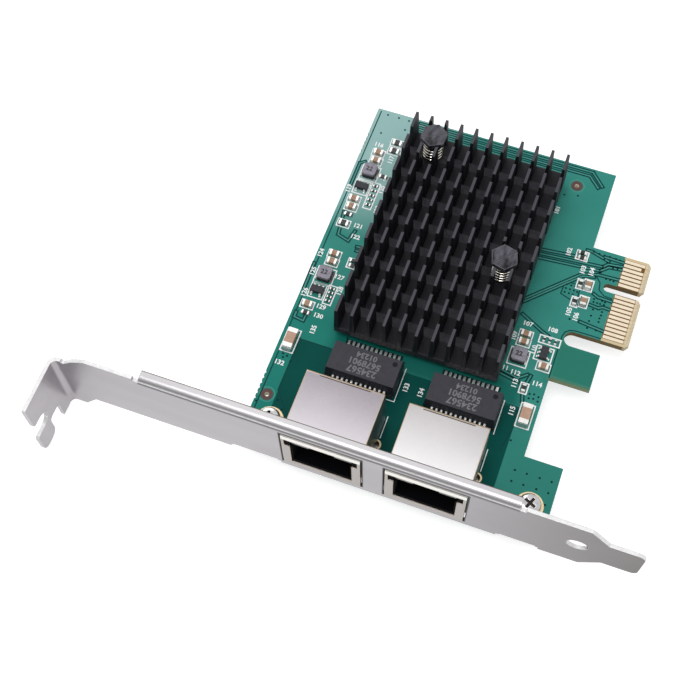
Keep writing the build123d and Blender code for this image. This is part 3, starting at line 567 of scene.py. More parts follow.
FINISHES = {
    "nickel_plated_steel": bracket_finish(),
    "screw_steel": screw_finish(),
    "green_solder_mask": board_finish(),
    "gold_plating": contact_finish(),
    "ring_gold": plain_finish(
        "ring_gold", (0.80, 0.58, 0.30), (0.98, 0.80, 0.52), (0.2, 0.34), 0.3,
        patch=900.0, grain=4000.0, strength=0.1,
    ),
    "shield_metal": shield_finish(),
    "black_moulding": plain_finish(
        "black_moulding", (0.0012, 0.0013, 0.002), (0.004, 0.0042, 0.006), (0.75, 0.9),
        patch=400.0, grain=5000.0, strength=0.3, gloss=0.06,
    ),
    "moulding_compound": plain_finish(
        "moulding_compound", (0.013, 0.013, 0.019), (0.034, 0.034, 0.046), (0.42, 0.58),
        patch=900.0, grain=6000.0, contrast=1.4, strength=0.5, edge=0.12,
        edge_highlight_colour=(0.065, 0.063, 0.075), gloss=0.3,
    ),
    "dimple_shade": plain_finish(
        "dimple_shade", (0.006, 0.006, 0.008), (0.016, 0.016, 0.020), (0.6, 0.8),
        patch=1500.0, grain=6000.0, gloss=0.15,
    ),
    "tin_leads": plain_finish(
        "tin_leads", (0.74, 0.73, 0.70), (0.95, 0.94, 0.91), (0.2, 0.34), 0.45,
        patch=1200.0, grain=6000.0, strength=0.15,
    ),
    "black_anodised": heat_sink_finish(),
    "black_nylon": plain_finish(
        "black_nylon", (0.002, 0.002, 0.004), (0.110, 0.108, 0.132), (0.34, 0.5),
        patch=800.0, grain=3500.0, contrast=3.0, strength=0.45, drawn=(1.0, 0.35, 1.0),
        edge=0.45, edge_highlight_colour=(0.17, 0.17, 0.20), gloss=0.2,
    ),
    "spring_steel": plain_finish(
        "spring_steel", (0.50, 0.48, 0.42), (0.78, 0.76, 0.68), (0.14, 0.26), 1.0,
        patch=900.0, grain=5000.0, strength=0.1,
    ),
    "thermal_compound": plain_finish(
        "thermal_compound", (0.28, 0.28, 0.29), (0.40, 0.40, 0.41), (0.6, 0.8),
        patch=400.0, grain=3000.0,
    ),
    "ferrite_top": plain_finish(
        "ferrite_top", (0.18, 0.168, 0.20), (0.38, 0.36, 0.43), (0.5, 0.7),
        patch=1500.0, grain=6000.0, contrast=1.6, strength=0.6, edge=0.15,
        edge_highlight_colour=(0.27, 0.25, 0.29), gloss=0.25,
    ),
    "ferrite_base": plain_finish(
        "ferrite_base", (0.008, 0.008, 0.010), (0.020, 0.020, 0.024), (0.45, 0.65),
        patch=900.0, grain=6000.0, strength=0.4,
    ),
    "capacitor_ceramic": plain_finish(
        "capacitor_ceramic", (0.27, 0.15, 0.09), (0.50, 0.33, 0.225), (0.35, 0.5),
        patch=1200.0, grain=6000.0, contrast=1.6, gloss=0.25,
    ),
    "large_capacitor_ceramic": plain_finish(
        "large_capacitor_ceramic", (0.42, 0.25, 0.175), (0.58, 0.38, 0.28), (0.35, 0.5),
        patch=900.0, grain=6000.0, contrast=1.4, gloss=0.25,
    ),
    "resistor_glaze": plain_finish(
        "resistor_glaze", (0.006, 0.006, 0.008), (0.024, 0.024, 0.028), (0.25, 0.4),
        patch=1500.0, grain=6000.0,
    ),
    "white_ink": plain_finish(
        "white_ink", (0.86, 0.89, 0.89), (1.0, 1.0, 1.0), (0.5, 0.65),
        patch=1800.0, grain=7000.0, contrast=1.6, strength=0.5,
    ),
    "laser_mark": plain_finish(
        "laser_mark", (0.09, 0.09, 0.10), (0.21, 0.205, 0.225), (0.5, 0.7),
        patch=2200.0, grain=7000.0, contrast=1.8, strength=0.5,
    ),
    "trace_mask": plain_finish(
        "trace_mask", (0.001, 0.035, 0.036), (0.004, 0.070, 0.066), (0.30, 0.42),
        patch=800.0, grain=4000.0, gloss=0.06,
    ),
    "pour_mask": plain_finish(
        "pour_mask", (0.045, 0.250, 0.210), (0.085, 0.330, 0.280), (0.26, 0.36),
        patch=300.0, grain=4000.0, gloss=0.08,
    ),
    "via_mask": plain_finish(
        "via_mask", (0.001, 0.018, 0.018), (0.002, 0.034, 0.032), (0.4, 0.6),
        patch=1500.0, grain=6000.0, gloss=0.06,
    ),
    "solder": plain_finish(
        "solder", (0.52, 0.52, 0.52), (0.86, 0.86, 0.85), (0.16, 0.32), 0.8,
        patch=1500.0, grain=6000.0, strength=0.2,
    ),
    "bare_laminate": plain_finish(
        "bare_laminate", (0.050, 0.024, 0.022), (0.12, 0.060, 0.052), (0.5, 0.7),
        patch=1500.0, grain=6000.0,
    ),
}

for entry in frame["record"]["subparts"]:
    node = nodes[entry["node"]]
    node.data.materials.clear()
    node.data.materials.append(FINISHES[entry["material_slot"]])


# Tools for the pieces


def clear_selection():
    if bpy.context.mode != "OBJECT":
        bpy.ops.object.mode_set(mode="OBJECT")
    bpy.ops.object.select_all(action="DESELECT")


def pick(piece):
    clear_selection()
    piece.select_set(True)
    bpy.context.view_layer.objects.active = piece


def hold_place(piece):
    """Moves the piece's own place into its mesh."""
    pick(piece)
    bpy.ops.object.transform_apply(location=True, rotation=True, scale=True)


def finish_piece(piece, name, finish):
    piece.name = name
    piece.data.name = name
    piece.data.materials.clear()
    piece.data.materials.append(FINISHES[finish])
    hold_place(piece)
    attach(piece, "root")
    return piece


def joined(pieces, name, finish):
    clear_selection()
    for piece in pieces:
        piece.select_set(True)
    bpy.context.view_layer.objects.active = pieces[0]
    if len(pieces) > 1:
        bpy.ops.object.join()
    return finish_piece(pieces[0], name, finish)


def apply_modifier(piece, name):
    pick(piece)
    bpy.ops.object.modifier_apply(modifier=name)


def soften(piece, width, segments=2, angle=40.0):
    """Rounds the piece's sharp edges by a width in millimetres."""
    rounding = piece.modifiers.new("rounding", "BEVEL")
    rounding.width = width / 1000
    rounding.segments = segments
    rounding.limit_method = "ANGLE"
    rounding.angle_limit = math.radians(angle)
    apply_modifier(piece, "rounding")


def copies_at(master, places):
    """Copies of one modelled piece at (x, y, z, turn), in millimetres and degrees."""
    made = []
    for x, y, z, turn in places:
        copy = master.copy()
        copy.data = master.data.copy()
        bpy.context.collection.objects.link(copy)
        copy.location = (x / 1000, y / 1000, z / 1000)
        copy.rotation_euler = (0.0, 0.0, math.radians(turn))
        made.append(copy)
    bpy.data.objects.remove(master)
    return made


def select_faces(piece, wanted):
    """In edit mode, selects the faces whose centre and normal are wanted."""
    bpy.ops.mesh.select_mode(type="FACE")
    bpy.ops.mesh.select_all(action="DESELECT")
    bpy.ops.object.mode_set(mode="OBJECT")
    for face in piece.data.polygons:
        face.select = wanted(face)
    bpy.ops.object.mode_set(mode="EDIT")


def edit_start(piece):
    pick(piece)
    bpy.ops.object.mode_set(mode="EDIT")


def plate(x, y, width, depth, low, high, turn=0.0):
    """Flat block on the board, in millimetres."""
    bpy.ops.mesh.primitive_cube_add(
        size=1.0, location=(x / 1000, y / 1000, (low + high) / 2000),
        rotation=(0.0, 0.0, math.radians(turn)),
        scale=(width / 1000, depth / 1000, (high - low) / 1000),
    )
    return bpy.context.object


def open_layer():
    """Empty mesh that is open for editing, so that each primitive joins it."""
    clear_selection()
    bpy.ops.mesh.primitive_plane_add(size=0.001)
    layer = bpy.context.object
    bpy.ops.object.mode_set(mode="EDIT")
    bpy.ops.mesh.select_all(action="SELECT")
    bpy.ops.mesh.delete(type="VERT")
    return layer


def close_layer(layer, name, finish, rounding=0.0):
    bpy.ops.object.mode_set(mode="OBJECT")
    if rounding:
        soften(layer, rounding, 1)
    return finish_piece(layer, name, finish)


def stroke(start, end, width, low, high):
    """Straight printed line between two points, a little longer than the gap it spans."""
    run = Vector(end) - Vector(start)
    middle = (Vector(start) + Vector(end)) / 2
    plate(
        middle.x, middle.y, run.length + width * 0.9, width, low, high,
        math.degrees(math.atan2(run.y, run.x)),
    )


def strokes(points, width, low, high):
    """Line of strokes, every second one a little higher, so that no two tops coincide."""
    for index, (start, end) in enumerate(zip(points, points[1:])):
        stroke(start, end, width, low, high + 0.0015 * (index % 2))


def disc(x, y, radius, low, high, sides=12):
    bpy.ops.mesh.primitive_cylinder_add(
        vertices=sides, radius=radius / 1000, depth=(high - low) / 1000,
        location=(x / 1000, y / 1000, (low + high) / 2000),
    )


def ring(x, y, outer, inner, low, high, sides=40):
    """Flat washer: a disc whose faces are inset, and the inner ones bridged into a hole."""
    clear_selection()
    disc(x, y, outer, low, high, sides)
    washer = bpy.context.object
    edit_start(washer)
    select_faces(washer, lambda face: abs(face.normal.z) > 0.9)
    bpy.ops.mesh.inset(thickness=(outer - inner) / 1000)
    bpy.ops.mesh.bridge_edge_loops()
    bpy.ops.object.mode_set(mode="OBJECT")
    return washer


def number(text, x, y, size, turn, low=BOARD_TOP, high=INK_TOP):
    """Plain digits, flat on a surface."""
    clear_selection()
    bpy.ops.object.text_add()
    label = bpy.context.object
    label.data.body = text
    label.data.size = size / 1000
    label.data.align_x = "CENTER"
    label.data.align_y = "CENTER"
    label.data.offset = 0.03 * size / 1000
    label.data.extrude = (high - low) / 2000
    label.data.resolution_u = 2
    bpy.ops.object.convert(target="MESH")
    label = bpy.context.object
    label.location = (x / 1000, y / 1000, (low + high) / 2000)
    label.rotation_euler = (0.0, 0.0, math.radians(turn))
    return label


# White ink: frames round the small parts, lines between groups, and plain numbers

framed_parts = [(x, y, 4.0, 4.0) for x, y in INDUCTORS]
framed_parts += [
    (x, y, 1.9, 2.8) if turn else (x, y, 2.8, 1.9) for x, y, turn in SMALL_PARTS
]
framed_parts += [(x, y, 2.8, 5.4) for x, y, _ in LARGE_CAPACITORS]
framed_parts += [(-65.4, 6.55, 3.3, 3.6), (-65.5, -21.2, 3.3, 3.6), (-16.05, -19.6, 3.6, 3.3)]
framed_parts += [
    (-62.5, 5.15, 1.8, 7.0), (-62.55, -21.35, 1.8, 4.6), (-15.7, -16.3, 4.4, 1.8),
    (-17.8, -28.4, 1.6, 2.4), (-13.25, -1.1, 1.5, 2.4), (-13.3, -5.6, 1.5, 2.4),
    (-14.7, 5.8, 2.5, 2.3), (-60.5, -12.5, 2.5, 2.4),
]
ink_lines = [
    [(-41.75, -32.3), (-41.75, -40.1), (-43.6, -40.1)], [(-20.65, -32.3), (-20.65, -40.1)],
    [(-41.8, -43.65), (-41.8, -48.5)], [(-20.75, -43.65), (-20.75, -48.5)],
]
layer = open_layer()
for x, y, width, depth in framed_parts:
    half_x, half_y = width / 2, depth / 2
    corners = [
        (x - half_x, y - half_y), (x + half_x, y - half_y),
        (x + half_x, y + half_y), (x - half_x, y + half_y), (x - half_x, y - half_y),
    ]
    strokes(corners, FRAME_LINE, BOARD_TOP, INK_TOP)
for line in ink_lines:
    strokes(line, GROUP_LINE, BOARD_TOP, INK_TOP)
close_layer(layer, "ink_frames", "white_ink", 0.008)

number_places = [
    (-22.9, 15.2, 90), (-17.6, 5.8, 90), (-13.6, 2.5, 90), (-11.7, 2.6, 90), (-13.8, -8.3, 90),
    (-12.1, -9.0, 90), (-21.1, -13.9, 0), (-15.8, -13.6, 0), (-23.0, -17.5, 90),
    (-18.2, -19.3, 90), (-23.0, -25.2, 0), (-20.4, -25.6, 0), (-19.8, -27.9, 90),
    (-15.5, -26.6, 0), (-18.6, -34.0, 90), (-65.5, 18.6, 0), (-61.6, 15.6, 90),
    (-62.0, 10.3, 0), (-68.0, 5.4, 90), (-60.9, 7.4, 90), (-62.7, -3.2, 0), (-62.4, -6.0, 0),
    (-60.2, 2.1, 90), (-68.0, -12.2, 90), (-68.0, -17.0, 90), (-67.9, -22.4, 90),
    (-62.2, -16.6, 0), (-60.9, -19.7, 90), (-63.4, -24.6, 0), (-63.2, -26.8, 0),
    (-56.3, -28.3, 0), (-67.0, -39.6, 0), (-40.4, -36.3, 90), (-37.2, -36.4, 90),
    (-63.0, -30.2, 90),
]
printed_numbers = [
    number(str(101 + index), x, y, 1.45, turn)
    for index, (x, y, turn) in enumerate(number_places)
]
joined(printed_numbers, "ink_numbers", "white_ink")

moulded_numbers = []
for body_x in TRANSFORMERS.values():
    for text, y, size in (("01234", -34.8, 1.75), ("5678901", -36.45, 1.95), ("234567", -38.2, 2.05)):
        moulded_numbers.append(
            number(text, body_x, y, size, 180, TRANSFORMER_TOP, TRANSFORMER_TOP + 0.01)
        )
joined(moulded_numbers, "body_numbers", "laser_mark")
inductor_numbers = [
    number("22", x - 0.1, y, 1.5, 0, INDUCTOR_TOP, INDUCTOR_TOP + 0.01) for x, y in INDUCTORS
]
joined(inductor_numbers, "inductor_numbers", "ferrite_base")


# Copper under the mask: tracks with their paler tops, the edges of the pours, and vias


def line_layer(lines, width, low, high, name, finish):
    """Thin layer on the board, made of lines of one width."""
    layer = open_layer()
    for line in lines:
        strokes(line, width, low, high)
    close_layer(layer, name, finish, 0.003)


rear_tracks = [
    [(-58.5, 27.35), (-18.0, 27.35), (-15.1, 24.3)],
    [(-58.5, 26.2), (-18.4, 26.2), (-15.9, 23.7)],
    [(-58.5, 25.05), (-24.0, 25.05)],
]
inner_tracks = [
    [(-24.3, 4.36), (-13.6, 5.5)], [(-24.3, 3.29), (-9.8, 4.6)], [(-24.3, 2.21), (-10.16, 3.43)],
    [(-10.16, 3.43), (-8.6, 4.9), (-5.9, 5.2)], [(-9.8, 4.6), (-8.9, 5.6), (-5.9, 6.0)],
    [(-10.0, 7.1), (-5.9, 7.0)], [(-14.0, 7.55), (-12.9, 7.5), (-9.0, 6.3)],
    [(-24.3, -9.24), (-16.0, -0.97), (-13.58, 1.44), (-10.2, 2.4), (-5.9, 2.6)],
    [(-24.3, -9.95), (-15.65, -1.3), (-13.3, 1.0), (-10.9, 1.6)],
    [(-11.0, -9.8), (-5.9, -10.4)], [(-10.0, -2.4), (-8.9, -2.9), (-5.9, -3.0)],
    [(-10.2, -5.2), (-8.2, -5.4), (-7.4, -4.95), (-5.9, -5.0)],
    [(-22.8, -12.0), (-17.9, -14.6), (-16.4, -15.2)], [(-17.2, -25.2), (-17.6, -27.2)],
    [(-17.7, -29.6), (-17.3, -31.2)], [(-24.2, -25.6), (-19.6, -26.6), (-17.9, -25.2)],
    [(-24.2, -26.5), (-19.3, -27.4)], [(-67.9, 6.6), (-67.9, 12.6), (-66.9, 13.3)],
    [(-68.5, -15.0), (-68.4, -21.4)], [(-66.9, -0.6), (-66.1, -6.6), (-63.5, -7.4), (-62.9, -4.6)],
    [(-67.9, -27.4), (-67.9, -28.6), (-65.8, -28.9), (-65.7, -27.4)],
    [(-61.2, -8.2), (-58.8, -8.0)], [(-61.0, -9.2), (-58.8, -9.2)],
]
tracks = rear_tracks + inner_tracks
line_layer(tracks, TRACK_EDGE, BOARD_TOP, BOARD_TOP + 0.004, "track_edges", "trace_mask")
line_layer(tracks, TRACK_TOP, BOARD_TOP + 0.003, BOARD_TOP + 0.012, "track_tops", "pour_mask")

pour_edges = [
    [(-68.05, 27.6), (-68.05, -51.5)], [(-68.3, -51.0), (-60.6, -51.0)],
    [(-10.38, 1.79), (-9.41, 0.59), (-9.17, -1.13), (-7.81, -2.18), (-6.04, -2.32)],
    [(-16.4, -1.4), (-16.6, -4.6), (-14.0, -5.5), (-13.0, -4.2), (-13.0, -1.4), (-16.4, -1.4)],
    [(-24.2, -30.6), (-20.6, -32.9), (-17.4, -32.9), (-17.3, -36.9), (-18.4, -42.9)],
    [(-64.95, -32.9), (-64.95, -45.5), (-60.4, -51.0)], [(-64.95, -33.1), (-57.5, -33.1)],
    [(-5.9, -12.2), (-11.3, -12.2), (-12.5, -12.5), (-13.3, -13.2), (-13.6, -14.3), (-13.6, -24.3)],
]
line_layer(pour_edges, POUR_EDGE, BOARD_TOP, BOARD_TOP + 0.008, "pour_edges", "trace_mask")

vias = [(x, y) for x in (-14.45, -12.0, -9.38, -6.93) for y in (-45.95, -48.4)]
vias += [(x, y) for x in (-15.9, -15.0, -14.15) for y in (-2.0, -3.0, -4.0)]
vias += [
    (-6.87, -50.96), (-66.29, 27.12), (-63.64, 27.15), (-61.21, 27.11), (-61.27, 24.44),
    (-66.15, 21.85), (-66.69, -38.22), (-42.6, -31.15), (-12.57, 7.56), (-11.33, 7.47),
    (-10.22, 7.47), (-9.02, 7.5), (-7.68, 7.44), (-6.78, 7.37), (-10.0, 6.62), (-7.73, 5.07),
    (-6.76, 5.15), (-8.45, 1.96), (-7.59, 2.0), (-6.8, 1.9), (-9.53, -4.31), (-8.77, -4.3),
    (-8.12, -4.32), (-7.26, -4.27), (-9.61, -3.58), (-7.9, -3.48), (-7.22, -3.62),
    (-7.24, -6.03), (-7.22, -6.9), (-7.34, -7.69), (-7.32, -8.56), (-9.18, -7.64),
    (-9.25, -9.0), (-9.22, -10.73), (-7.3, -10.67), (-9.17, -6.08), (-14.05, -4.89),
    (-13.69, -2.21), (-13.43, -3.14), (-16.3, -29.2), (-15.4, -29.0), (-14.4, -29.3),
    (-16.2, -30.2), (-15.3, -30.0), (-14.3, -30.3), (-22.5, 19.6), (-19.6, 20.3),
    (-67.0, -37.4), (-66.0, -37.7), (-64.9, -38.6), (-55.6, -29.6), (-64.2, -47.6),
    (-62.6, -49.3), (-68.3, -49.2), (-20.9, -46.2), (-17.0, -40.2), (-13.2, -9.9),
]
layer = open_layer()
for low, high in ((BOARD_TOP, BOARD_TOP + INK * 0.7), (BOARD_UNDER - INK * 0.7, BOARD_UNDER)):
    for x, y in vias:
        disc(x, y, VIA_RADIUS, low, high, 10)
close_layer(layer, "tented_vias", "via_mask", 0.006)


def slot_corners():
    """The two corners that round the inner end of the slot: a plate, and a drill that is cut away."""
    across = SLOT_EDGES_Y[1] - SLOT_EDGES_Y[0]
    middle_y = sum(SLOT_EDGES_Y) / 2
    middle_x = SLOT_END_X + across / 2
    tip_x = middle_x - SLOT_CORNER_TIP
    past = 1.0
    clear_selection()
    corners = plate(
        (SLOT_EDGE_X + tip_x) / 2, middle_y, tip_x - SLOT_EDGE_X, across, BOARD_UNDER, BOARD_TOP,
    )
    disc(middle_x, middle_y, across / 2, BOARD_UNDER - past, BOARD_TOP + past, 48)
    drill = bpy.context.object
    cut = corners.modifiers.new("round_end", "BOOLEAN")
    cut.object = drill
    cut.operation = "DIFFERENCE"
    apply_modifier(corners, "round_end")
    bpy.data.objects.remove(drill)
    return corners


finish_piece(slot_corners(), "slot_end_corners", "green_solder_mask")

# Bare rings round the tooling holes, pale mask round them, gold rings at screws, legs and contacts
tooling_rings = [
    ring(x, y, outer, inner, low, high)
    for x, y in TOOLING_HOLES
    for outer, inner, low, high in (
        (1.3, 0.98, BOARD_TOP, BOARD_TOP + 0.006), (0.98, 0.5, BOARD_TOP, BOARD_TOP + 0.012),
    )
]
joined(tooling_rings, "tooling_rings", "bare_laminate")
halos = [ring(x, y, 1.72, 1.5, BOARD_TOP, BOARD_TOP + 0.008) for x, y in TOOLING_HOLES]
joined(halos, "tooling_halos", "pour_mask")

LEGS = [(jack_x + side * LEG_REACH, LEG_Y) for jack_x in JACKS.values() for side in (-1, 1)]
TAILS = [
    (jack_x + (index - 3.5) * TAIL_PITCH, TAIL_ROWS_Y[index % 2])
    for jack_x in JACKS.values() for index in range(8)
]
pad_rings = [ring(x, y, 2.85, 1.55, BOARD_TOP, INK_TOP) for x, y, _ in SCREWS]
pad_rings += [ring(x, y, 1.2, 0.87, BOARD_TOP, INK_TOP) for x, y in LEGS]
pad_rings += [ring(x, y, 1.25, 0.87, BOARD_UNDER - INK, BOARD_UNDER, 24) for x, y in LEGS]
pad_rings += [ring(x, y, 0.72, 0.47, BOARD_UNDER - INK, BOARD_UNDER, 20) for x, y in TAILS]
joined(pad_rings, "pad_rings", "ring_gold")


def drawn_out(piece, steps, side=-1):
    """Draws the piece's end face out in steps of (length, scale), and so shapes a tapered body."""
    edit_start(piece)
    for length, scale in steps:
        select_faces(piece, lambda face: face.normal.z * side > 0.9)
        bpy.ops.mesh.extrude_region_move(
            TRANSFORM_OT_translate={"value": (0.0, 0.0, side * length / 1000)}
        )
        bpy.ops.transform.resize(value=(scale, scale, 1.0), center_override=(0.0, 0.0, 0.0))
    bpy.ops.object.mode_set(mode="OBJECT")
    return piece


def solder_joint(radius, height):
    """Soldered joint under the board: a disc drawn out to a small rounded tip."""
    clear_selection()
    disc(0.0, 0.0, radius, -0.02, 0.02, 14)
    joint = bpy.context.object
    return drawn_out(
        joint, [(0.3 * height, 0.7), (0.3 * height, 0.72), (0.3 * height, 0.85), (0.1 * height, 0.6)]
    )


joints = copies_at(solder_joint(0.68, 1.25), [(x, y, BOARD_UNDER, 0.0) for x, y in TAILS])
joints += copies_at(solder_joint(1.15, 1.2), [(x, y, BOARD_UNDER, 0.0) for x, y in LEGS])
joined(joints, "solder_joints", "solder")

# Shoulders of the transformers' leads, where they leave the body, and the marks of pin one
shoulders = [
    plate(
        lead_x, TRANSFORMER_Y + side * SHOULDER_REACH, 0.46, 0.5, BOARD_TOP + 2.55, BOARD_TOP + 3.3,
    )
    for lead_x in LEADS_X for side in (-1, 1)
]
shoulders = joined(shoulders, "lead_shoulders", "tin_leads")
soften(shoulders, 0.08, 2)
layer = open_layer()
for body_x in TRANSFORMERS.values():
    disc(body_x + 5.9, -34.6, 0.55, TRANSFORMER_TOP - 0.01, TRANSFORMER_TOP + 0.005, 16)
close_layer(layer, "pin_one_marks", "dimple_shade", 0.004)

# Solder at both ends of every small part: the part's length and width, the solder's height, places
SOLDERED_PARTS = [
    (2.0, 1.25, 0.75, SMALL_PARTS), (4.5, 2.0, 1.2, LARGE_CAPACITORS),
    (1.6, 0.8, 0.4, CHIP_PARTS), (1.0, 0.5, 0.3, TINY_PARTS),
]


def solder_wedge(reach, width, height):
    """Solder that climbs a part's end: a block whose outer top edge is pulled down and rounded."""
    clear_selection()
    bpy.ops.mesh.primitive_cube_add(size=1.0, scale=(reach / 1000, width / 1000, height / 1000))
    wedge = bpy.context.object
    bpy.ops.object.transform_apply(location=True, rotation=True, scale=True)
    edit_start(wedge)
    bpy.ops.mesh.select_mode(type="VERT")
    bpy.ops.mesh.select_all(action="DESELECT")
    bpy.ops.object.mode_set(mode="OBJECT")
    for vertex in wedge.data.vertices:
        vertex.select = vertex.co.x > 0 and vertex.co.z > 0
    bpy.ops.object.mode_set(mode="EDIT")
    bpy.ops.transform.translate(value=(0.0, 0.0, -0.82 * height / 1000))
    bpy.ops.object.mode_set(mode="OBJECT")
    soften(wedge, min(reach, height) * 0.18, 1, 20.0)
    return wedge


wedges = []
for length, width, height, places in SOLDERED_PARTS:
    reach = 0.25 + 0.1 * width
    ends = []
    for x, y, turn in places:
        for side_turn in (0, 180):
            angle = math.radians(turn + side_turn)
            away = length / 2 + reach / 2
            ends.append(
                (
                    x + away * math.cos(angle), y + away * math.sin(angle),
                    BOARD_TOP + height / 2, turn + side_turn,
                )
            )
    wedges += copies_at(solder_wedge(reach, width * 1.05, height), ends)
inductor_ends = [
    (x + side * 1.72, y, BOARD_TOP + 0.25, 0 if side > 0 else 180)
    for x, y in INDUCTORS for side in (-1, 1)
]
wedges += copies_at(solder_wedge(0.45, 2.7, 0.5), inductor_ends)
joined(wedges, "solder_wedges", "solder")

# Pads under the transformers' leads, the rear ones longer, on bands that hold no copper
lead_pads = [
    plate(lead_x, y, 0.52, length, BOARD_TOP, BOARD_TOP + 0.03)
    for lead_x in LEADS_X for y, length in ((-41.6, 1.5), (-31.05, 2.3))
]
pads = joined(lead_pads, "lead_pads", "solder")
soften(pads, 0.01, 1)
layer = open_layer()
for body_x in TRANSFORMERS.values():
    plate(body_x, -31.1, 12.4, 2.7, BOARD_TOP, BOARD_TOP + 0.008)
close_layer(layer, "pad_bands", "via_mask", 0.003)


# Pan head screws with a crossed recess and a threaded shank, in millimetres
HEAD_RADIUS = 2.3
HEAD_RIM = 0.7
SHANK_RADIUS = 1.25
THREAD_PITCH = 0.5
THREAD_TURNS = 7
THREAD_ROOT = 0.84
RECESS_LENGTH = 2.5
RECESS_WIDTH = 0.62
RECESS_FLOOR = 0.95


def cross_screw():
    """Head drawn up from a disc, threaded shank drawn down, and a recess cut by two blades."""
    clear_selection()
    disc(0.0, 0.0, HEAD_RADIUS, 0.0, HEAD_RIM, 32)
    screw = bpy.context.object
    bpy.ops.object.transform_apply(location=True, rotation=True, scale=True)
    drawn_out(screw, [(0.4, 0.975), (0.35, 0.93), (0.22, 0.86), (0.1, 0.72)], 1)
    edit_start(screw)
    select_faces(screw, lambda face: face.normal.z < -0.9)
    bpy.ops.mesh.inset(thickness=(HEAD_RADIUS - SHANK_RADIUS) / 1000)
    select_faces(screw, lambda face: face.normal.z < -0.9 and face.center.xy.length < 0.0002)
    for _ in range(THREAD_TURNS):
        for scale in (THREAD_ROOT, 1.0 / THREAD_ROOT):
            bpy.ops.mesh.extrude_region_move(
                TRANSFORM_OT_translate={"value": (0.0, 0.0, -THREAD_PITCH / 2000)}
            )
            bpy.ops.transform.resize(
                value=(scale, scale, 1.0), center_override=(0.0, 0.0, 0.0)
            )
    bpy.ops.object.mode_set(mode="OBJECT")
    for turn in (0.0, 90.0):
        blade = plate(0.0, 0.0, RECESS_LENGTH, RECESS_WIDTH, RECESS_FLOOR, HEAD_RIM + 1.9, turn)
        cut = screw.modifiers.new("recess", "BOOLEAN")
        cut.object = blade
        cut.operation = "DIFFERENCE"
        apply_modifier(screw, "recess")
        bpy.data.objects.remove(blade)
    soften(screw, 0.05, 2, 38.0)
    return screw


screws = copies_at(cross_screw(), [(x, y, BOARD_TOP, turn) for x, y, turn in SCREWS])
screws = joined(screws, "cross_screws", "screw_steel")
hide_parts("bracket_screws")


# Round wire springs under the push pins' heads


def coil_spring(radius, wire, low, high, turns):
    """Wire section drawn round and upward, with its ends closed."""
    clear_selection()
    bpy.ops.mesh.primitive_circle_add(
        vertices=7, radius=wire / 1000, location=(radius / 1000, 0.0, (low + wire) / 1000),
        rotation=(math.radians(90.0), 0.0, 0.0), fill_type="NGON",
    )
    coil = bpy.context.object
    bpy.ops.object.transform_apply(location=True, rotation=True, scale=True)
    winding = coil.modifiers.new("winding", "SCREW")
    winding.axis = "Z"
    winding.angle = math.tau
    winding.iterations = turns
    winding.screw_offset = (high - low - 2 * wire) / turns / 1000
    winding.steps = 20
    winding.render_steps = 20
    winding.use_smooth_shade = True
    apply_modifier(coil, "winding")
    edit_start(coil)
    bpy.ops.mesh.select_all(action="SELECT")
    bpy.ops.mesh.normals_make_consistent(inside=False)
    bpy.ops.object.mode_set(mode="OBJECT")
    return coil


coils = copies_at(
    coil_spring(2.15, 0.19, BOARD_TOP + 3.25, BOARD_TOP + 8.75, 5),
    [(x, y, 0.0, 200.0) for x, y in PUSH_PINS],
)
coils = joined(coils, "push_pin_coils", "spring_steel")
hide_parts("push_pin_springs")

# Studio


def seen_directly(tree):
    """One for rays from the camera, and for what is mirrored or seen through, otherwise nought."""
    path = tree.nodes.new("ShaderNodeLightPath")
    seen = math_node(tree, "MAXIMUM", path.outputs["Is Camera Ray"], path.outputs["Is Glossy Ray"])
    return math_node(tree, "MAXIMUM", seen, path.outputs["Is Transmission Ray"])


def build_floor():
    """White floor that keeps the shadow, its added white only seen, and clear from below."""
    clear_selection()
    bpy.ops.mesh.primitive_plane_add(size=6.0, location=(-0.04, 0.0, FLOOR_Z / 1000))
    floor = bpy.context.object
    floor.name = "studio_floor"
    material, tree, shader, vector = start_finish("studio_white")
    tone, _ = add_tone(tree, vector, 2.0, 300.0, 0.3)
    tree.links.new(
        mix_colours(tree, tone, (0.58, 0.58, 0.58), (0.62, 0.62, 0.62)),
        shader.inputs["Base Color"],
    )
    shader.inputs["Roughness"].default_value = 0.9
    shader.inputs["Emission Color"].default_value = (1.0, 1.0, 1.0, 1.0)
    added = math_node(tree, "MULTIPLY", seen_directly(tree), 0.68)
    tree.links.new(added, shader.inputs["Emission Strength"])
    side = tree.nodes.new("ShaderNodeNewGeometry")
    clear = tree.nodes.new("ShaderNodeBsdfTransparent")
    either = tree.nodes.new("ShaderNodeMixShader")
    tree.links.new(side.outputs["Backfacing"], either.inputs[0])
    tree.links.new(shader.outputs[0], either.inputs[1])
    tree.links.new(clear.outputs[0], either.inputs[2])
    tree.links.new(either.outputs[0], tree.nodes["Material Output"].inputs["Surface"])
    floor.data.materials.append(material)


build_floor()

world = bpy.data.worlds.new("studio_air")
bpy.context.scene.world = world
world.use_nodes = True
sky = world.node_tree.nodes["Background"]
sky.inputs["Color"].default_value = (1.0, 1.0, 1.0, 1.0)
sky_level = math_node(world.node_tree, "MULTIPLY_ADD", seen_directly(world.node_tree), 0.38, 0.62)
world.node_tree.links.new(sky_level, sky.inputs["Strength"])


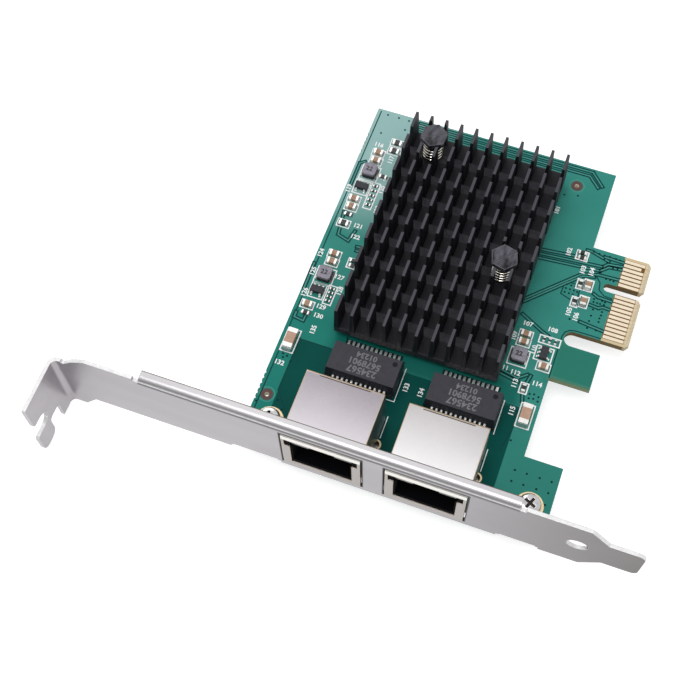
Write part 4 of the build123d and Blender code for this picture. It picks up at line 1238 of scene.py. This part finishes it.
def soft_lamp(name, place, aim, size, power):
    lamp_data = bpy.data.lights.new(name, "AREA")
    lamp_data.shape = "DISK"
    lamp_data.size = size
    lamp_data.energy = power
    lamp = bpy.data.objects.new(name, lamp_data)
    bpy.context.collection.objects.link(lamp)
    lamp.location = place
    lamp.rotation_mode = "QUATERNION"
    lamp.rotation_quaternion = (Vector(aim) - Vector(place)).to_track_quat("-Z", "Y")


CENTRE = (-0.045, -0.02, 0.0)
soft_lamp("overhead_lamp", (-0.10, -0.12, 0.80), CENTRE, 0.45, 2.0)
soft_lamp("rear_left_lamp", (-0.35, 0.45, 0.60), CENTRE, 0.35, 1.0)


def shading_flag(name, middle, size, dark_up_to, white_from):
    """Flag seen only in reflections, dark at its foot and white toward its top."""
    clear_selection()
    bpy.ops.mesh.primitive_cube_add(size=1.0, location=middle, scale=size)
    flag = bpy.context.object
    flag.name = name
    bpy.ops.object.transform_apply(location=True, rotation=True, scale=True)
    material, tree, shader, vector = start_finish(name)
    tone, _ = add_tone(tree, vector, 4.0, 200.0, 0.5)
    tree.links.new(
        mix_colours(tree, tone, (0.02, 0.02, 0.022), (0.05, 0.05, 0.055)),
        shader.inputs["Base Color"],
    )
    rise = ramp(tree, coordinate(tree, vector, "Z"), dark_up_to, white_from, 0.0, 0.95)
    tree.links.new(rise, shader.inputs["Emission Strength"])
    shader.inputs["Emission Color"].default_value = (1.0, 1.0, 1.0, 1.0)
    flag.data.materials.append(material)
    flag.visible_camera = False
    flag.visible_diffuse = False
    flag.visible_shadow = False


shading_flag("front_flag", (-0.05, -0.75, 0.55), (1.6, 0.02, 1.11), 0.15, 0.95)

# Camera at the photograph's place, its axes given in the part's frame
camera_data = bpy.data.cameras.new("photo_camera")
camera_data.sensor_width = 36.0
camera_data.lens = 62.153
camera_data.clip_start = 0.005
camera = bpy.data.objects.new("photo_camera", camera_data)
bpy.context.collection.objects.link(camera)
right = Vector((0.9403, 0.34008, -0.01343)).normalized()
down = Vector((0.30053, -0.84815, -0.43625)).normalized()
ahead = Vector((-0.15975, 0.40617, -0.89972)).normalized()
turn = Matrix((right, -down, -ahead)).transposed().to_4x4()
camera.matrix_world = Matrix.Translation((-0.014059, -0.133986, 0.226552)) @ turn
bpy.context.scene.camera = camera
bpy.context.scene.view_settings.view_transform = "Standard"
